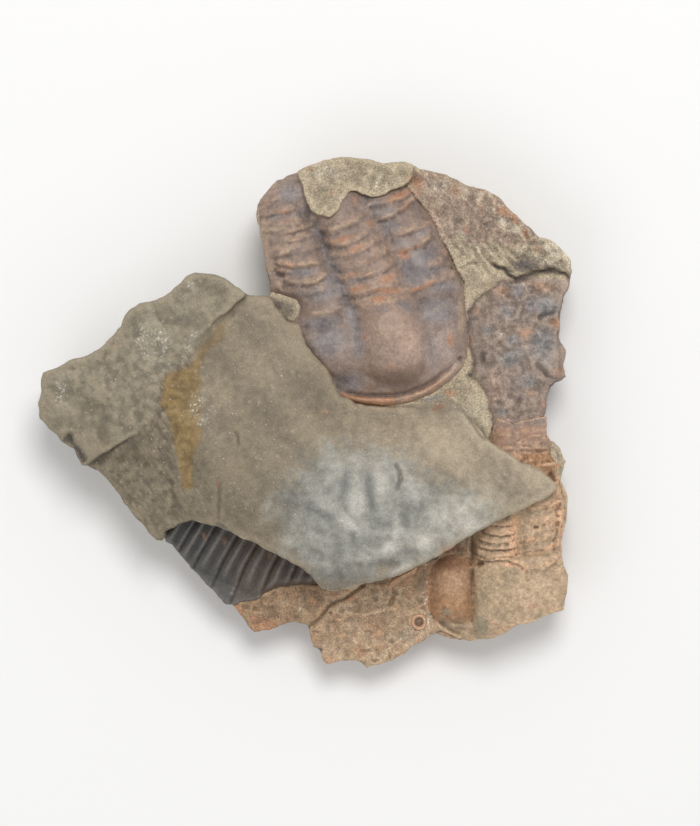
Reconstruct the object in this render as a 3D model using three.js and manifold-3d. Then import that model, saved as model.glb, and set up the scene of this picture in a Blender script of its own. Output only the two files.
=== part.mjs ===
// A hand-sized block of bedded siltstone with three trilobites and two small fossil fragments in it.
// Millimetres, +Z up. The block lies on its flat bottom bed with its fossils facing up.
// The origin is under the middle of the block, on the surface it lies on.
// +X runs along the longer side, and +Y points from the heads of the two upright trilobites to their tails.

import * as THREE from "three";
import { mergeVertices } from "three/addons/utils/BufferGeometryUtils.js";
import Module from "manifold-3d";

const wasm = await Module();
wasm.setup();

// ---------------------------------------------------------------- driving dimensions

const GAP = 0.3; // clearance between a fossil and the stone around it
const FINEST = 0.12; // smallest detail kept in the faceted solids
const GRID = 3.4; // spacing of the stone's relief
const EXTENT = [98, 94]; // working area, a little larger than the block
const TOP = 35; // working height, above every part of the stone
const UNDER = -1; // working floor, below the flat bottom

const BED = 5; // thickness of one bedding layer in the side of the block
const LEDGE = 1; // how far one layer stands back from another
const UNDERCUT = 3.4; // how far the foot of the side is broken back
const FOOT = 10; // height of that foot

const BASE_HEIGHT = 10.4; // height of the lowest bed at its low edge
const BASE_SLOPE = 0.1; // its rise towards +Y
const LOW_EDGE = -38; // where the low edge lies in Y
const SOFTEN = 0.9; // how far two facets of the stone are rounded into each other

// The whole block seen from above.
const BLOCK = [
  [-45.5, 1.5], [-44.9, 5], [-44.4, 7], [-40, 9.3], [-37, 10], [-34, 12], [-31.5, 15.2],
  [-30, 18], [-28, 19], [-24, 20], [-21, 22.8], [-19, 24], [-16, 23.8], [-13.8, 23.2],
  [-12, 21.8], [-9.5, 20.3], [-6, 20.1], [-6.9, 25.5], [-7.6, 29], [-8.6, 32], [-8.9, 34.2],
  [-8, 36.6], [-4.8, 40], [0, 42.2], [3, 43.3], [7.5, 44.04], [10.2, 43.5], [13, 43.1],
  [17, 43], [20, 41.9], [24, 40.7], [28, 38.8], [30.6, 38.6], [33.5, 36.6], [36.5, 33.6],
  [40, 30.3], [42.3, 29.2], [45.2, 26.3], [45.5, 24.2], [44.2, 20], [44, 14], [44.6, 6.2],
  [42.4, 5.5], [41.5, 3.5], [41.2, -3.6], [43.8, -5.6], [44.5, -8], [45, -14], [44.6, -20],
  [43.7, -24], [45, -27.6], [44.3, -33.6], [40, -35.1], [36, -36.2], [33.6, -38], [28, -39.2],
  [24.6, -38.6], [22.5, -38.5], [20, -40.3], [17, -41.9], [10.5, -44.1], [8, -43.2], [3, -43],
  [2.2, -41], [0.9, -39.8], [-0.2, -36.8], [-6, -37.9], [-9, -37.8], [-11.5, -35],
  [-14, -32.4], [-17, -29.6], [-20, -26.3], [-23, -22.6], [-25.6, -21.6], [-31, -15.4],
  [-33, -12], [-35.5, -9.6], [-38, -8.6], [-39.3, -6], [-41, -4.8], [-43.6, -2.5], [-45.2, -0.6],
];

// The shelf carries the upper trilobite and steps down to the lowest bed along its right side.
const SHELF = [
  [-12, 10], [-12, 30], [-12, 50], [20, 50], [50, 40], [50, 25.2], [45.4, 23.6], [42, 24.3],
  [38.5, 24], [36, 23], [34, 23.7], [31.6, 25.2], [31.4, 20], [28.4, 18.6], [27.6, 15],
  [28.6, 10], [28.8, 6.4], [31, 3], [31.8, -2.5], [31.6, -5], [26, -8], [0, -8],
];

// The thick top bed: a broad wedge whose long lower edge overlooks the lowest bed.
const CAP = [
  [-50, 0], [-50, 26], [-12, 30], [-8.2, 24], [-5.9, 20], [-4.6, 17.6], [-3, 16], [-1, 15.3],
  [-0.4, 13], [1.8, 9.6], [4, 7.3], [5, 5], [6.2, 3], [9, 1.9], [13, 1.4], [18, 1.6], [22, 2.4],
  [25, 2.2], [26.5, 0.9], [29, -1.8], [31.6, -4.6], [36, -7.7], [40, -9.6], [42.4, -11.4],
  [43, -12.7], [41, -14.2], [36, -16.5], [31, -18.8], [25, -22.4], [20, -25.1], [15, -27.3],
  [10, -28.5], [5, -29.8], [3, -29.5], [1.3, -27.6], [-1, -25.8], [-5, -23.5], [-10, -21],
  [-15, -19], [-19, -18], [-21.5, -18.7], [-23.8, -20], [-25, -24], [-50, -24],
];

// A thinner flake left standing on the far end of the top bed.
const FLAKE = [
  [-50, -10], [-50, 30], [-12, 30], [-9.6, 20.5], [-13, 18], [-16, 15], [-19, 11.5],
  [-21, 9.4], [-24, 7], [-25, 3], [-25.8, -0.6], [-28.4, -3], [-32.5, -5.6], [-37, -8.4],
  [-39, -12],
];

// A tongue of stone that still covers the tail of the upper trilobite.
const TONGUE = [
  [-2.4, 50], [-1.6, 41], [-0.9, 38.6], [0, 36.4], [1, 34.5], [2.5, 33.8], [4, 33.6], [5.5, 34.6],
  [6.4, 37.2], [8, 38.2], [9.5, 37.8], [11, 36.9], [13, 37], [14.6, 38], [17, 39.5], [20, 50],
];

// Each trilobite, with lengths along its body measured from the front:
//   line      its bent axis, from front to tail
//   pitch     length of one segment of the thorax
//   left, right, axis, vault   half-widths and the height of the back, as [length, value]
//   arch      how far the axis stands above the two sides
//   rings, ribs   relief of the segments on the axis and on the sides
//   sweep     how far the ribs run back at the left and right margins
//   depth     how deep the body sits in the stone
//   head      radius of its round front, where it ends (neck), its rim and its glabella,
//             the swelling between the cheeks
const RIM = { height: 0.8, at: 0.85, furrow: 0.8, furrowAt: 2.2 };

// The upper trilobite, nearly whole, its tail still covered.
const UPPER = {
  line: [[15.3, 1.7], [14.4, 9], [12.6, 19.5], [10.3, 26], [7.3, 32.2], [4.6, 38.6]],
  pitch: 2.5,
  left: [[13.2, 13.2], [16, 13], [21, 13.3], [27, 15.2], [32, 16], [36, 15.6], [40, 13.6]],
  right: [[13.2, 13.2], [17, 14], [20, 14.6], [26, 12.8], [32, 11.4], [40, 11]],
  axis: [[0, 5.6], [9, 5.7], [16, 5.2], [24, 5.2], [33, 5.1], [40, 4.6]],
  vault: [[0, 3.6], [12, 3.8], [28, 3.2], [36, 1.8], [40, 1]],
  arch: 1.5,
  rings: 0.6,
  ribs: 0.5,
  sweep: [3.4, 0.8],
  depth: 2.6,
  head: { radius: 13.2, neck: 20.2, front: 3.3, crest: 8.8, glabella: 2.6, cheek: 0.6 },
  mesh: { columns: 22, rowStep: 1.25 },
  rise: 16.9,
  tip: 0,
};

// The lower right trilobite, cut off by the edge of the block, half under the top bed.
const LOWER_RIGHT = {
  line: [[33.2, -38.6], [33.1, -30], [32.6, -22], [32.1, -14], [32, 0.5]],
  pitch: 1.75,
  left: [[12.6, 12.6], [17, 12], [24, 11.4], [32, 10.4], [40, 8]],
  right: [[12.6, 12.6], [17, 12.2], [24, 11.8], [32, 10.4], [40, 8]],
  axis: [[0, 4.7], [12, 4.7], [15, 4.2], [30, 4], [40, 3.4]],
  vault: [[0, 2.8], [30, 2.8], [40, 2]],
  arch: 1.5,
  rings: 0.6,
  ribs: 0.35,
  sweep: [1.5, 1.5],
  depth: 2.4,
  head: { radius: 12.6, neck: 13.8, front: 1.6, crest: 7, glabella: 2, cheek: 0.9 },
  mesh: { columns: 20, rowStep: 1.4 },
  rise: 10.5,
  tip: Math.atan(BASE_SLOPE),
};

// The lower left trilobite: the ribs of one side, the rest under the top bed.
const LOWER_LEFT = {
  line: [[10, -26.4], [-2, -20.7], [-13, -15.5], [-25, -9.8]],
  pitch: 2.75,
  left: [[0, 0.8], [5, 3.5], [8, 6.5], [12, 9.6], [16, 13], [20, 14.6], [30, 14.2], [38, 10]],
  right: [[0, 0.8], [8, 5], [40, 5]],
  axis: [[0, 4.6], [40, 4.2]],
  vault: [[0, 1.5], [12, 3.4], [28, 3.4], [40, 1.5]],
  arch: 1.5,
  rings: 0.6,
  ribs: 0.5,
  sweep: [1, 1],
  depth: 2,
  head: null,
  mesh: { columns: 14, rowStep: 1.45 },
  rise: 11,
  tip: 0,
};

// A curved sliver of another head's rim.
const SLIVER = { centre: [13.4, -23.6], radius: 5.4, width: 1.1, height: 1.6, top: 12.3, arc: [-83, -28] };
// The cross-section of a thin round stalk.
const OSSICLE = { centre: [19.6, -35.5], radius: 0.95, width: 0.55, height: 1.5, top: 11.2 };

// ---------------------------------------------------------------- solids and meshes

// A closed three.js geometry as a solid that can be cut and joined.
function solid(geometry) {
  const bare = geometry.clone();
  bare.deleteAttribute("normal");
  bare.deleteAttribute("uv");
  const merged = mergeVertices(bare, 1e-4);
  return new wasm.Manifold(new wasm.Mesh({
    numProp: 3,
    vertProperties: new Float32Array(merged.attributes.position.array),
    triVerts: new Uint32Array(merged.index.array),
  }));
}

// The largest part of a solid, without the crumbs a cut leaves, as a three.js geometry.
function geometryOf(body) {
  const parts = body.simplify(FINEST).decompose();
  const [largest] = parts.sort((a, b) => b.volume() - a.volume());
  const mesh = largest.getMesh();
  const geometry = new THREE.BufferGeometry();
  geometry.setAttribute("position", new THREE.BufferAttribute(mesh.vertProperties, 3));
  geometry.setIndex(new THREE.BufferAttribute(mesh.triVerts, 1));
  geometry.computeVertexNormals();
  return geometry;
}

// Moves every corner of a geometry to where `place` puts it.
function reshape(geometry, place) {
  const position = geometry.attributes.position;
  const corner = new THREE.Vector3();
  for (let i = 0; i < position.count; i++) {
    place(corner.fromBufferAttribute(position, i));
    position.setXYZ(i, corner.x, corner.y, corner.z);
  }
  return geometry;
}

const shapeOf = (outline) => new THREE.Shape(outline.map(([x, y]) => new THREE.Vector2(x, y)));

// An upright block of full height on an outline.
function prism(outline) {
  const geometry = new THREE.ExtrudeGeometry(shapeOf(outline), { depth: TOP - UNDER, bevelEnabled: false });
  return solid(geometry.translate(0, 0, UNDER));
}

// A full block of stone up to a surface.
function blockUpTo(height) {
  const [across, deep] = EXTENT.map((size) => Math.round(size / GRID));
  const box = new THREE.BoxGeometry(...EXTENT, TOP, across, deep, 1);
  return solid(reshape(box, (p) => {
    p.z = p.z > 0 ? height(p.x, p.y) : UNDER;
  }));
}

// ---------------------------------------------------------------- the stone

// A facet through a point, with its rise along X and Y.
const facet = (x0, y0, z0, alongX, alongY) => (x, y) => z0 + alongX * (x - x0) + alongY * (y - y0);

// The lowest of several facets, with their creases rounded.
function lowest(facets, x, y) {
  const total = facets.reduce((sum, height) => sum + Math.exp(-height(x, y) / SOFTEN), 0);
  return -SOFTEN * Math.log(total);
}

// The gentle unevenness of broken siltstone: three waves, as [height, along X, along Y, phase].
const WAVES = [[0.28, 0.31, 0.17, 1.1], [0.22, 0.23, -0.41, 0.4], [0.14, 0.62, 0.55, 2.3]];
const wave = (x, y, [height, alongX, alongY, phase]) => height * Math.sin(alongX * x + alongY * y + phase);
const uneven = (x, y) => WAVES.reduce((sum, each) => sum + wave(x, y, each), 0);

// The dip in the top bed below the head of the upper trilobite.
const DIP = { x: 15, y: 3, reachX: 13, reachY: 6, depth: 4 };
const dip = (x, y) =>
  DIP.depth * Math.exp(-(((x - DIP.x) / DIP.reachX) ** 2) - ((y - DIP.y) / DIP.reachY) ** 2);

const SHELF_FACETS = [
  facet(20, 15, 17.3, 0.01, 0.02), // around the upper trilobite
  facet(30, 30, 17.3, -0.14, -0.42), // the bevelled far corner
];
const CAP_FACETS = [
  facet(-8, 10, 20.9, 0.03, -0.22), // the broad face, rising towards the brow
  facet(-15, -10, 22.8, 0.3, 0.28), // the hollowed flank
  facet(8, -22, 27.2, 0, 0.5), // the brow above the lower edge
  facet(20, -18, 25.6, -0.28, 0.12), // the side that runs out to the tip
  facet(20, -5, 21.8, -0.25, -0.25), // the side towards the shelf
];
const TONGUE_FACETS = [facet(4, 35, 21.8, -0.02, -0.28), facet(8, 41, 20.9, -0.05, -0.7)];
const FLAKE_FACET = facet(-32, 6, 19.8, 0.08, -0.08);

const baseHeight = (x, y) => BASE_HEIGHT + BASE_SLOPE * (y - LOW_EDGE) + 0.6 * uneven(x, y);
const shelfHeight = (x, y) => lowest(SHELF_FACETS, x, y) + 0.7 * uneven(x, y);
const capHeight = (x, y) => lowest(CAP_FACETS, x, y) - dip(x, y) + 0.8 * uneven(x, y);
const flakeHeight = (x, y) => FLAKE_FACET(x, y) - 0.02 * Math.max(0, -x - 38) ** 2 + uneven(x, y);
const tongueHeight = (x, y) => lowest(TONGUE_FACETS, x, y);

// The block's broken side: ledges of uneven beds above a foot that is broken back, on a flat bottom.
function sideOf(outline) {
  const steps = Math.ceil(TOP / BED);
  const size = { depth: steps * BED, steps, bevelEnabled: false };
  return solid(reshape(new THREE.ExtrudeGeometry(shapeOf(outline), size), (p) => {
    const reach = Math.hypot(p.x, p.y);
    const turn = Math.atan2(p.y, p.x);
    const ragged = 1 + 0.5 * Math.sin(5 * turn + 0.9 * p.z) + 0.3 * Math.sin(11 * turn - 0.6 * p.z);
    const ledge = LEDGE * (0.5 - 0.5 * Math.cos(7 * turn + 1.3 * p.z));
    const broken = UNDERCUT * ragged * (1 - p.z / FOOT);
    const inset = p.z < FOOT ? Math.max(0, broken + ledge) : 0;
    p.x *= 1 - inset / reach;
    p.y *= 1 - inset / reach;
  }));
}

// ---------------------------------------------------------------- the trilobites

const bell = (x, width) => Math.exp(-((x / width) ** 2));
const ease = (x) => THREE.MathUtils.smoothstep(x, 0, 1);

// A value read off a short list of [length, value] pairs.
function along(stations, v) {
  const next = stations.findIndex(([at]) => at >= v);
  if (next === 0) return stations[0][1];
  if (next < 0) return stations.at(-1)[1];
  const [[v0, a], [v1, b]] = [stations[next - 1], stations[next]];
  return THREE.MathUtils.lerp(a, b, ease((v - v0) / (v1 - v0)));
}

const inRoundFront = (animal, v) => animal.head !== null && v < animal.head.radius;

// Half the body's width at a length, on the side that u is on.
function halfWidth(animal, u, v) {
  if (inRoundFront(animal, v)) {
    const { radius } = animal.head;
    return Math.sqrt(Math.max(0, radius ** 2 - (radius - v) ** 2));
  }
  return along(u < 0 ? animal.left : animal.right, v);
}

// Relief of the head: glabella, cheeks, furrows and rim.
function headRelief({ head }, u, v, width, axis) {
  const outside = Math.abs(u) - axis;
  const nose = Math.max(0, (head.crest - v) / (head.crest - head.front));
  const dome = Math.max(0, 1 - (u / axis) ** 2 - nose ** 2) ** 0.6;
  const falling = 1 - 0.45 * ease((v - head.crest) / (head.neck - head.crest));
  const cheek = Math.sin(Math.PI * THREE.MathUtils.clamp(outside / (width - axis), 0, 1)) ** 0.8;
  const inside = v < head.radius ? head.radius - Math.hypot(u, head.radius - v) : width - Math.abs(u);
  const axialFurrow = 0.6 * bell(outside, 0.9) * ease((v - head.front) / 3);
  const neckFurrow = 0.5 * bell(v - (head.neck - 2.1), 0.6);
  const rim = RIM.height * bell(inside - RIM.at, 0.6) - RIM.furrow * bell(inside - RIM.furrowAt, 0.7);
  return head.glabella * falling * dome + head.cheek * cheek + rim - axialFurrow - neckFurrow;
}

// Relief of the thorax: the arched axis and its rings, and the ribs of both sides.
function thoraxRelief(animal, u, v, width, axis) {
  const outside = Math.abs(u) - axis;
  const arch = animal.arch * Math.max(0, 1 - (u / axis) ** 2) ** 0.7;
  const sweep = outside > 0 ? animal.sweep[u < 0 ? 0 : 1] * (u / width) ** 2 : 0;
  const roll = Math.abs(Math.sin((Math.PI * (v - sweep)) / animal.pitch)) ** 0.7;
  const relief = outside > 0 ? animal.ribs : animal.rings;
  return arch + relief * (roll - 0.6) - 0.6 * bell(outside, 0.9);
}

// Height of a trilobite's back above its margin, at u across and v along the body.
function back(animal, u, v) {
  const width = halfWidth(animal, u, v);
  const axis = along(animal.axis, v);
  const edge = inRoundFront(animal, v)
    ? Math.hypot(u, animal.head.radius - v) / animal.head.radius
    : Math.abs(u) / width;
  const vault = along(animal.vault, v) * (1 - Math.min(1, edge) ** 2.8);
  const relief = animal.head !== null && v < animal.head.neck ? headRelief : thoraxRelief;
  return Math.max(0.2, vault + relief(animal, u, v, width, axis));
}

// A trilobite as one closed body that follows its bent axis, with a flat underside.
// A margin makes it larger all round. An open one reaches up to full height.
function carapace(animal, margin = 0, open = false) {
  const axisLine = new THREE.CatmullRomCurve3(animal.line.map(([x, y]) => new THREE.Vector3(x, y, 0)));
  const length = axisLine.getLength();
  const box = new THREE.BoxGeometry(2, 1, 1, animal.mesh.columns, Math.round(length / animal.mesh.rowStep), 1);
  const blunt = 0.12; // the round front starts this far back, so that it has some width
  const body = solid(reshape(box, (p) => {
    const share = (p.y + 0.5) ** (animal.head ? 1.25 : 1);
    const v = blunt + share * (length - 2 * blunt);
    const at = axisLine.getPointAt(v / length);
    const heading = axisLine.getTangentAt(v / length);
    const inner = p.x * halfWidth(animal, p.x, v);
    const u = inner + p.x * margin;
    const beyond = Math.abs(p.y) === 0.5 ? 2 * p.y * margin : 0;
    const upper = open ? TOP : back(animal, inner, v) + margin;
    p.z = p.z > 0 ? upper : -animal.depth - margin;
    p.x = at.x + heading.y * u + heading.x * beyond;
    p.y = at.y - heading.x * u + heading.y * beyond;
  }));
  return body
    .translate([0, -LOW_EDGE, 0])
    .rotate([THREE.MathUtils.radToDeg(animal.tip), 0, 0])
    .translate([0, LOW_EDGE, animal.rise]);
}

// ---------------------------------------------------------------- the small fragments

// A curved bar with a rounded top. A margin makes it larger all round and open to the sky.
function sliver(margin = 0) {
  const { centre, radius, width, height, top, arc } = SLIVER;
  const [start, end] = arc.map(THREE.MathUtils.degToRad);
  const curve = new THREE.EllipseCurve(0, 0, radius, radius, start - margin / radius, end + margin / radius);
  const path = new THREE.CatmullRomCurve3(curve.getPoints(10).map((q) => new THREE.Vector3(q.x, q.y, 0)));
  const half = width / 2 + margin;
  const crown = margin ? TOP : height;
  // The section's X runs down, and its Y runs across the bar.
  const section = shapeOf([
    [margin, -half], [-crown * 0.6, -half], [-crown, -half * 0.4],
    [-crown, half * 0.4], [-crown * 0.6, half], [margin, half],
  ]);
  const bar = new THREE.ExtrudeGeometry(section, { steps: 10, extrudePath: path });
  return solid(bar.translate(...centre, top - height));
}

// A small ring with a rounded top, or the round hole that takes it.
function ossicle(margin = 0) {
  const { centre, radius, width, height, top } = OSSICLE;
  const [inner, outer] = [radius - width / 2, radius + width / 2 + margin];
  const shoulder = height * 0.7;
  const profile = margin
    ? [[0, -margin], [outer, -margin], [outer, TOP], [0, TOP]]
    : [[inner, 0], [outer, 0], [outer, shoulder], [radius, height], [inner, shoulder], [inner, 0]];
  const turned = new THREE.LatheGeometry(profile.map(([r, z]) => new THREE.Vector2(r, z)), 12);
  return solid(turned.rotateX(Math.PI / 2).translate(...centre, top - height));
}

// ---------------------------------------------------------------- assembly

const side = sideOf(BLOCK);
const capWall = prism(CAP);
const tongueWall = prism(TONGUE);
const cover = capWall.add(tongueWall);

// A trilobite, cut off at the edge of the block. The stone above it hides a part of it.
const specimen = (animal) => carapace(animal).intersect(side);

// The pocket that holds it: open to the sky, and closed over it under the covering stone.
const pocket = (animal) => carapace(animal, GAP, true).subtract(cover).add(carapace(animal, GAP));

// The stone with its four beds, and a pocket for each fossil.
function matrix() {
  return blockUpTo(baseHeight)
    .add(prism(SHELF).intersect(blockUpTo(shelfHeight)))
    .add(capWall.intersect(blockUpTo(capHeight)))
    .add(prism(FLAKE).intersect(blockUpTo(flakeHeight)))
    .add(tongueWall.intersect(blockUpTo(tongueHeight)))
    .intersect(side)
    .subtract(pocket(UPPER))
    .subtract(pocket(LOWER_RIGHT))
    .subtract(pocket(LOWER_LEFT))
    .subtract(sliver(GAP))
    .subtract(ossicle(GAP));
}

const finish = (color, roughness) => new THREE.MeshStandardMaterial({ color, roughness, metalness: 0 });
const siltstone = finish(0x9a8d78, 0.9);
const plumCast = finish(0x98887f, 0.7);
const rustCast = finish(0xb99a78, 0.75);
const slateCast = finish(0x54504c, 0.6);

const fossil = new THREE.Group();

function addPiece(name, body, material) {
  const mesh = new THREE.Mesh(geometryOf(body), material);
  mesh.name = name;
  fossil.add(mesh);
}

addPiece("matrix_block", matrix(), siltstone);
addPiece("trilobite_upper", specimen(UPPER), plumCast);
addPiece("trilobite_lower_right", specimen(LOWER_RIGHT), rustCast);
addPiece("trilobite_lower_left", specimen(LOWER_LEFT), slateCast);
addPiece("rim_sliver", sliver(), rustCast);
addPiece("stalk_ossicle", ossicle(), rustCast);

export default fossil;
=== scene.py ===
"""A hand-sized block of siltstone with three trilobites in it, seen from above on a pale table.

Sizes are in millimetres unless a name says otherwise, and meshes are written in metres.
+Z is up out of the fossil face, and +Y runs from the heads of the upright trilobites to their tails.
"""

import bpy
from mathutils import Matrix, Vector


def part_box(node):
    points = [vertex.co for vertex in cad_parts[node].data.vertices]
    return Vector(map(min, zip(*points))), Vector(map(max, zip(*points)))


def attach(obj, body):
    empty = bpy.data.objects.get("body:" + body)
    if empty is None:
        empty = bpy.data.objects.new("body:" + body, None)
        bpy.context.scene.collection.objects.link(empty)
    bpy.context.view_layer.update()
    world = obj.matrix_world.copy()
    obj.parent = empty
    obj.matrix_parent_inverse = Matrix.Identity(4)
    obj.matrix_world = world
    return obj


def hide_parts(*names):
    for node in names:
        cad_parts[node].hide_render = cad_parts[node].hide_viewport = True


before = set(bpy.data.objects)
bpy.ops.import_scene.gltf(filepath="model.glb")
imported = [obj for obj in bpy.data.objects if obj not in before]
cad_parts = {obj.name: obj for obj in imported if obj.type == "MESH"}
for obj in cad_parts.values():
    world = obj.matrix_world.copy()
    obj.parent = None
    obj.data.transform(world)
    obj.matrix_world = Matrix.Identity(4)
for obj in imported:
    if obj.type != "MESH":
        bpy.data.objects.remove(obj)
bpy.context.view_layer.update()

import math

import bpy
import numpy as np
import openvdb
from mathutils import Vector

MM = 0.001
DETAIL = 1  # how many times coarser a trial run is

# ---------------------------------------------------------------- sizes of the stone

STONE_CELL = 0.3 * DETAIL
CAST_CELL = 0.17 * DETAIL
STONE_FACES = 190_000 // DETAIL**2
CAST_FACES = 150_000 // DETAIL**2

BASE_HEIGHT = 10.4
BASE_SLOPE = 0.1
LOW_EDGE = -38
FOOT = 10  # height of the broken-back foot of the side
UNDERCUT = 2.6

OVERLAP = 0.25  # how far a cast runs into the stone around it, so that no gap shows
SUNK = 0.3  # how far the beds stay below a cast that lies in them
POCKET_FLOOR, CAST_FLOOR = 1.2, 1.6  # how much deeper than its own depth a pocket and a cast go
POCKET_REACH, CAST_REACH = 1.75, 2  # how far a pocket and a cast go on under the beds above them

GRIT_SEED = 5
GRIT_DENSITY = 90_000  # flakes on a square metre
GRIT_SIZES = (0.08, 0.26)
LOOKS_UP = 0.6  # the least upward part of a face's normal for grit to lie on it

BLOCK = [
    (-45.5, 1.5), (-45, 5), (-44.6, 7), (-42.5, 7.8), (-40, 9.3), (-37, 10), (-34, 12), (-31.5, 15),
    (-30, 18), (-28, 19), (-24, 20), (-21, 22.8), (-19, 24), (-16, 23.8), (-13.8, 23.2), (-12, 21.8),
    (-9.5, 20.3), (-6, 20.1), (-6.2, 22), (-7, 26), (-7.5, 29), (-8.2, 32), (-8.8, 34), (-8, 36.5),
    (-5, 39.8), (0, 42), (3, 43.3), (7.5, 44), (10, 43.5), (13, 43), (17, 43), (20, 41.8), (24, 40.8),
    (28, 38.8), (30.5, 38.6), (33, 37), (36.5, 33.5), (40, 30.3), (42.5, 29.3), (45.2, 26.3), (45.5, 24.2),
    (45.2, 22.6), (44.3, 20), (44.2, 14), (44.5, 9), (44.6, 6.6), (43, 5.6), (41.8, 4.5), (41.4, 2),
    (41.3, -3.5), (42, -4.5), (43.8, -5.6), (44.5, -8), (44.4, -11), (45, -14), (44.8, -18), (44, -22),
    (43.8, -24), (45, -27.5), (44.9, -30), (44.3, -33.5), (40, -35), (36, -36.2), (34, -37.8), (31, -38.5),
    (28, -39.2), (24.5, -38.7), (22.5, -38.5), (20, -40.3), (17, -41.8), (14, -43), (10.5, -44), (8, -43.2),
    (3, -43), (2.2, -41), (1, -40), (0.3, -38), (-0.2, -36.6), (-3, -37), (-6, -37.9), (-9, -37.8),
    (-11, -35), (-14, -32.5), (-17, -29.5), (-20, -26.3), (-23, -22.5), (-25.5, -21.5), (-28, -18.5),
    (-31, -15.5), (-33, -12), (-35.5, -9.5), (-38, -8.5), (-39.3, -6), (-41, -4.8), (-43.5, -2.5),
    (-45.2, -0.5),
]
SHELF = [
    (-12, 10), (-12, 50), (20, 50), (50, 40), (50, 25.2), (45.4, 23.6), (42, 24.6), (38.5, 24.4),
    (36, 23.2), (33.6, 22.2), (31.2, 20.8), (29, 19.6), (27.8, 17.6), (27.6, 15), (28.4, 10), (28.8, 6.4),
    (31, 3), (31.8, -2.5), (31.6, -5), (26, -8), (0, -8),
]
CAP = [
    (-50, 0), (-50, 26), (-12, 30), (-8.2, 24), (-5.9, 20), (-4.6, 17.6), (-3, 16), (-1, 15.3), (-0.4, 13),
    (1.6, 9.8), (4, 7.3), (5, 5), (6, 3.1), (8.5, 1.9), (13, 1.3), (18, 1.5), (22, 2.2), (25, 2.2),
    (26.5, 1), (28.4, -1.2), (31.6, -4.6), (36, -7.7), (40, -9.6), (42.4, -11.4), (43, -12.7), (41, -14.2),
    (36, -16.5), (31, -18.8), (25, -22.4), (20, -25.1), (15, -27.3), (10, -28.5), (5, -29.8), (3, -29.5),
    (1.3, -27.6), (-1, -25.8), (-5, -23.5), (-10, -21), (-15, -19), (-19, -18), (-21.5, -18.7),
    (-23.8, -20), (-25, -24), (-50, -24),
]
FLAKE = [
    (-50, -10), (-50, 30), (-12, 30), (-9.6, 20.5), (-13, 17.6), (-16, 15), (-19, 11), (-21, 9), (-24, 6.6),
    (-25, 3), (-25.8, -0.6), (-28.4, -3), (-32.5, -5.6), (-37, -8.4), (-39, -12),
]
TONGUE = [
    (-2.4, 50), (-1.6, 41), (-0.5, 38.8), (0.2, 36.4), (0.9, 34.8), (2.4, 33.8), (4.2, 33.4), (5.9, 34.6),
    (6.4, 36.4), (7.5, 37.8), (8.8, 37.9), (9.8, 37.2), (11.5, 36.8), (13, 37.1), (14.6, 38), (16.6, 38.6),
    (18, 40), (20, 50),
]

# ---------------------------------------------------------------- small maths


class Noise:
    """Smooth random variation in space. The same seed gives the same values on every run."""

    SIDE = 32

    def __init__(self, seed):
        corners = np.random.default_rng(seed).normal(size=(3, self.SIDE, self.SIDE, self.SIDE))
        self.gradients = (corners / np.linalg.norm(corners, axis=0)).astype(np.float32)

    def __call__(self, x, y, z=0.0, size=1.0):
        """About -1 to 1, in features of that size."""
        place = np.broadcast_arrays(*(np.asarray(c, np.float32) / size for c in (x, y, z)))
        low = [np.floor(c) for c in place]
        part = [c - f for c, f in zip(place, low)]
        cell = [f.astype(np.int32) % self.SIDE for f in low]
        fade = [t * t * t * (t * (6 * t - 15) + 10) for t in part]
        total = 0
        for corner in np.ndindex(2, 2, 2):
            index = tuple((c + k) % self.SIDE for c, k in zip(cell, corner))
            weight, value = 1, 0
            for axis, k in enumerate(corner):
                weight = weight * (fade[axis] if k else 1 - fade[axis])
                value = value + self.gradients[axis][index] * (part[axis] - k)
            total = total + weight * value
        return total * 1.6

    def rough(self, x, y, z=0.0, size=1.0, octaves=4, decay=0.5):
        """The same at several sizes at once, each half of the last."""
        total, height = 0, 1.0
        for octave in range(octaves):
            shift = 7.3 * octave
            total = total + height * self(x + shift, y - shift, np.asarray(z) + shift, size)
            size, height = size / 2, height * decay
        return total


def smooth(low, high, value):
    """0 below low, 1 above high, and a smooth rise between."""
    t = np.clip((value - low) / (high - low), 0, 1)
    return t * t * (3 - 2 * t)


def bell(distance, width):
    return np.exp(-((distance / width) ** 2))


def hump(distance, width):
    """1 in the middle, falling smoothly to 0 at that width."""
    return 0.5 + 0.5 * np.cos(np.pi * np.clip(distance / width, -1, 1))


def larger(a, b, blend):
    """The larger of two fields, with their crease rounded over that distance."""
    share = np.clip(0.5 + 0.5 * (a - b) / blend, 0, 1)
    return b + (a - b) * share + blend * share * (1 - share)


def smaller(a, b, blend):
    return -larger(-a, -b, blend)


def outline_distance(outline, x, y):
    """Distance to a closed outline, negative inside it."""
    points = np.array(outline, np.float32)
    nearest = np.full(x.shape, 1e9, np.float32)
    inside = np.zeros(x.shape, bool)
    for (ax, ay), (bx, by) in zip(points, np.roll(points, -1, 0)):
        ex, ey = bx - ax, by - ay
        share = np.clip(((x - ax) * ex + (y - ay) * ey) / (ex * ex + ey * ey), 0, 1)
        nearest = np.minimum(nearest, (x - ax - share * ex) ** 2 + (y - ay - share * ey) ** 2)
        if ay != by:
            inside ^= ((ay > y) != (by > y)) & (x < (y - ay) * ex / ey + ax)
    return np.where(inside, -1, 1) * np.sqrt(nearest)


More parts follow.
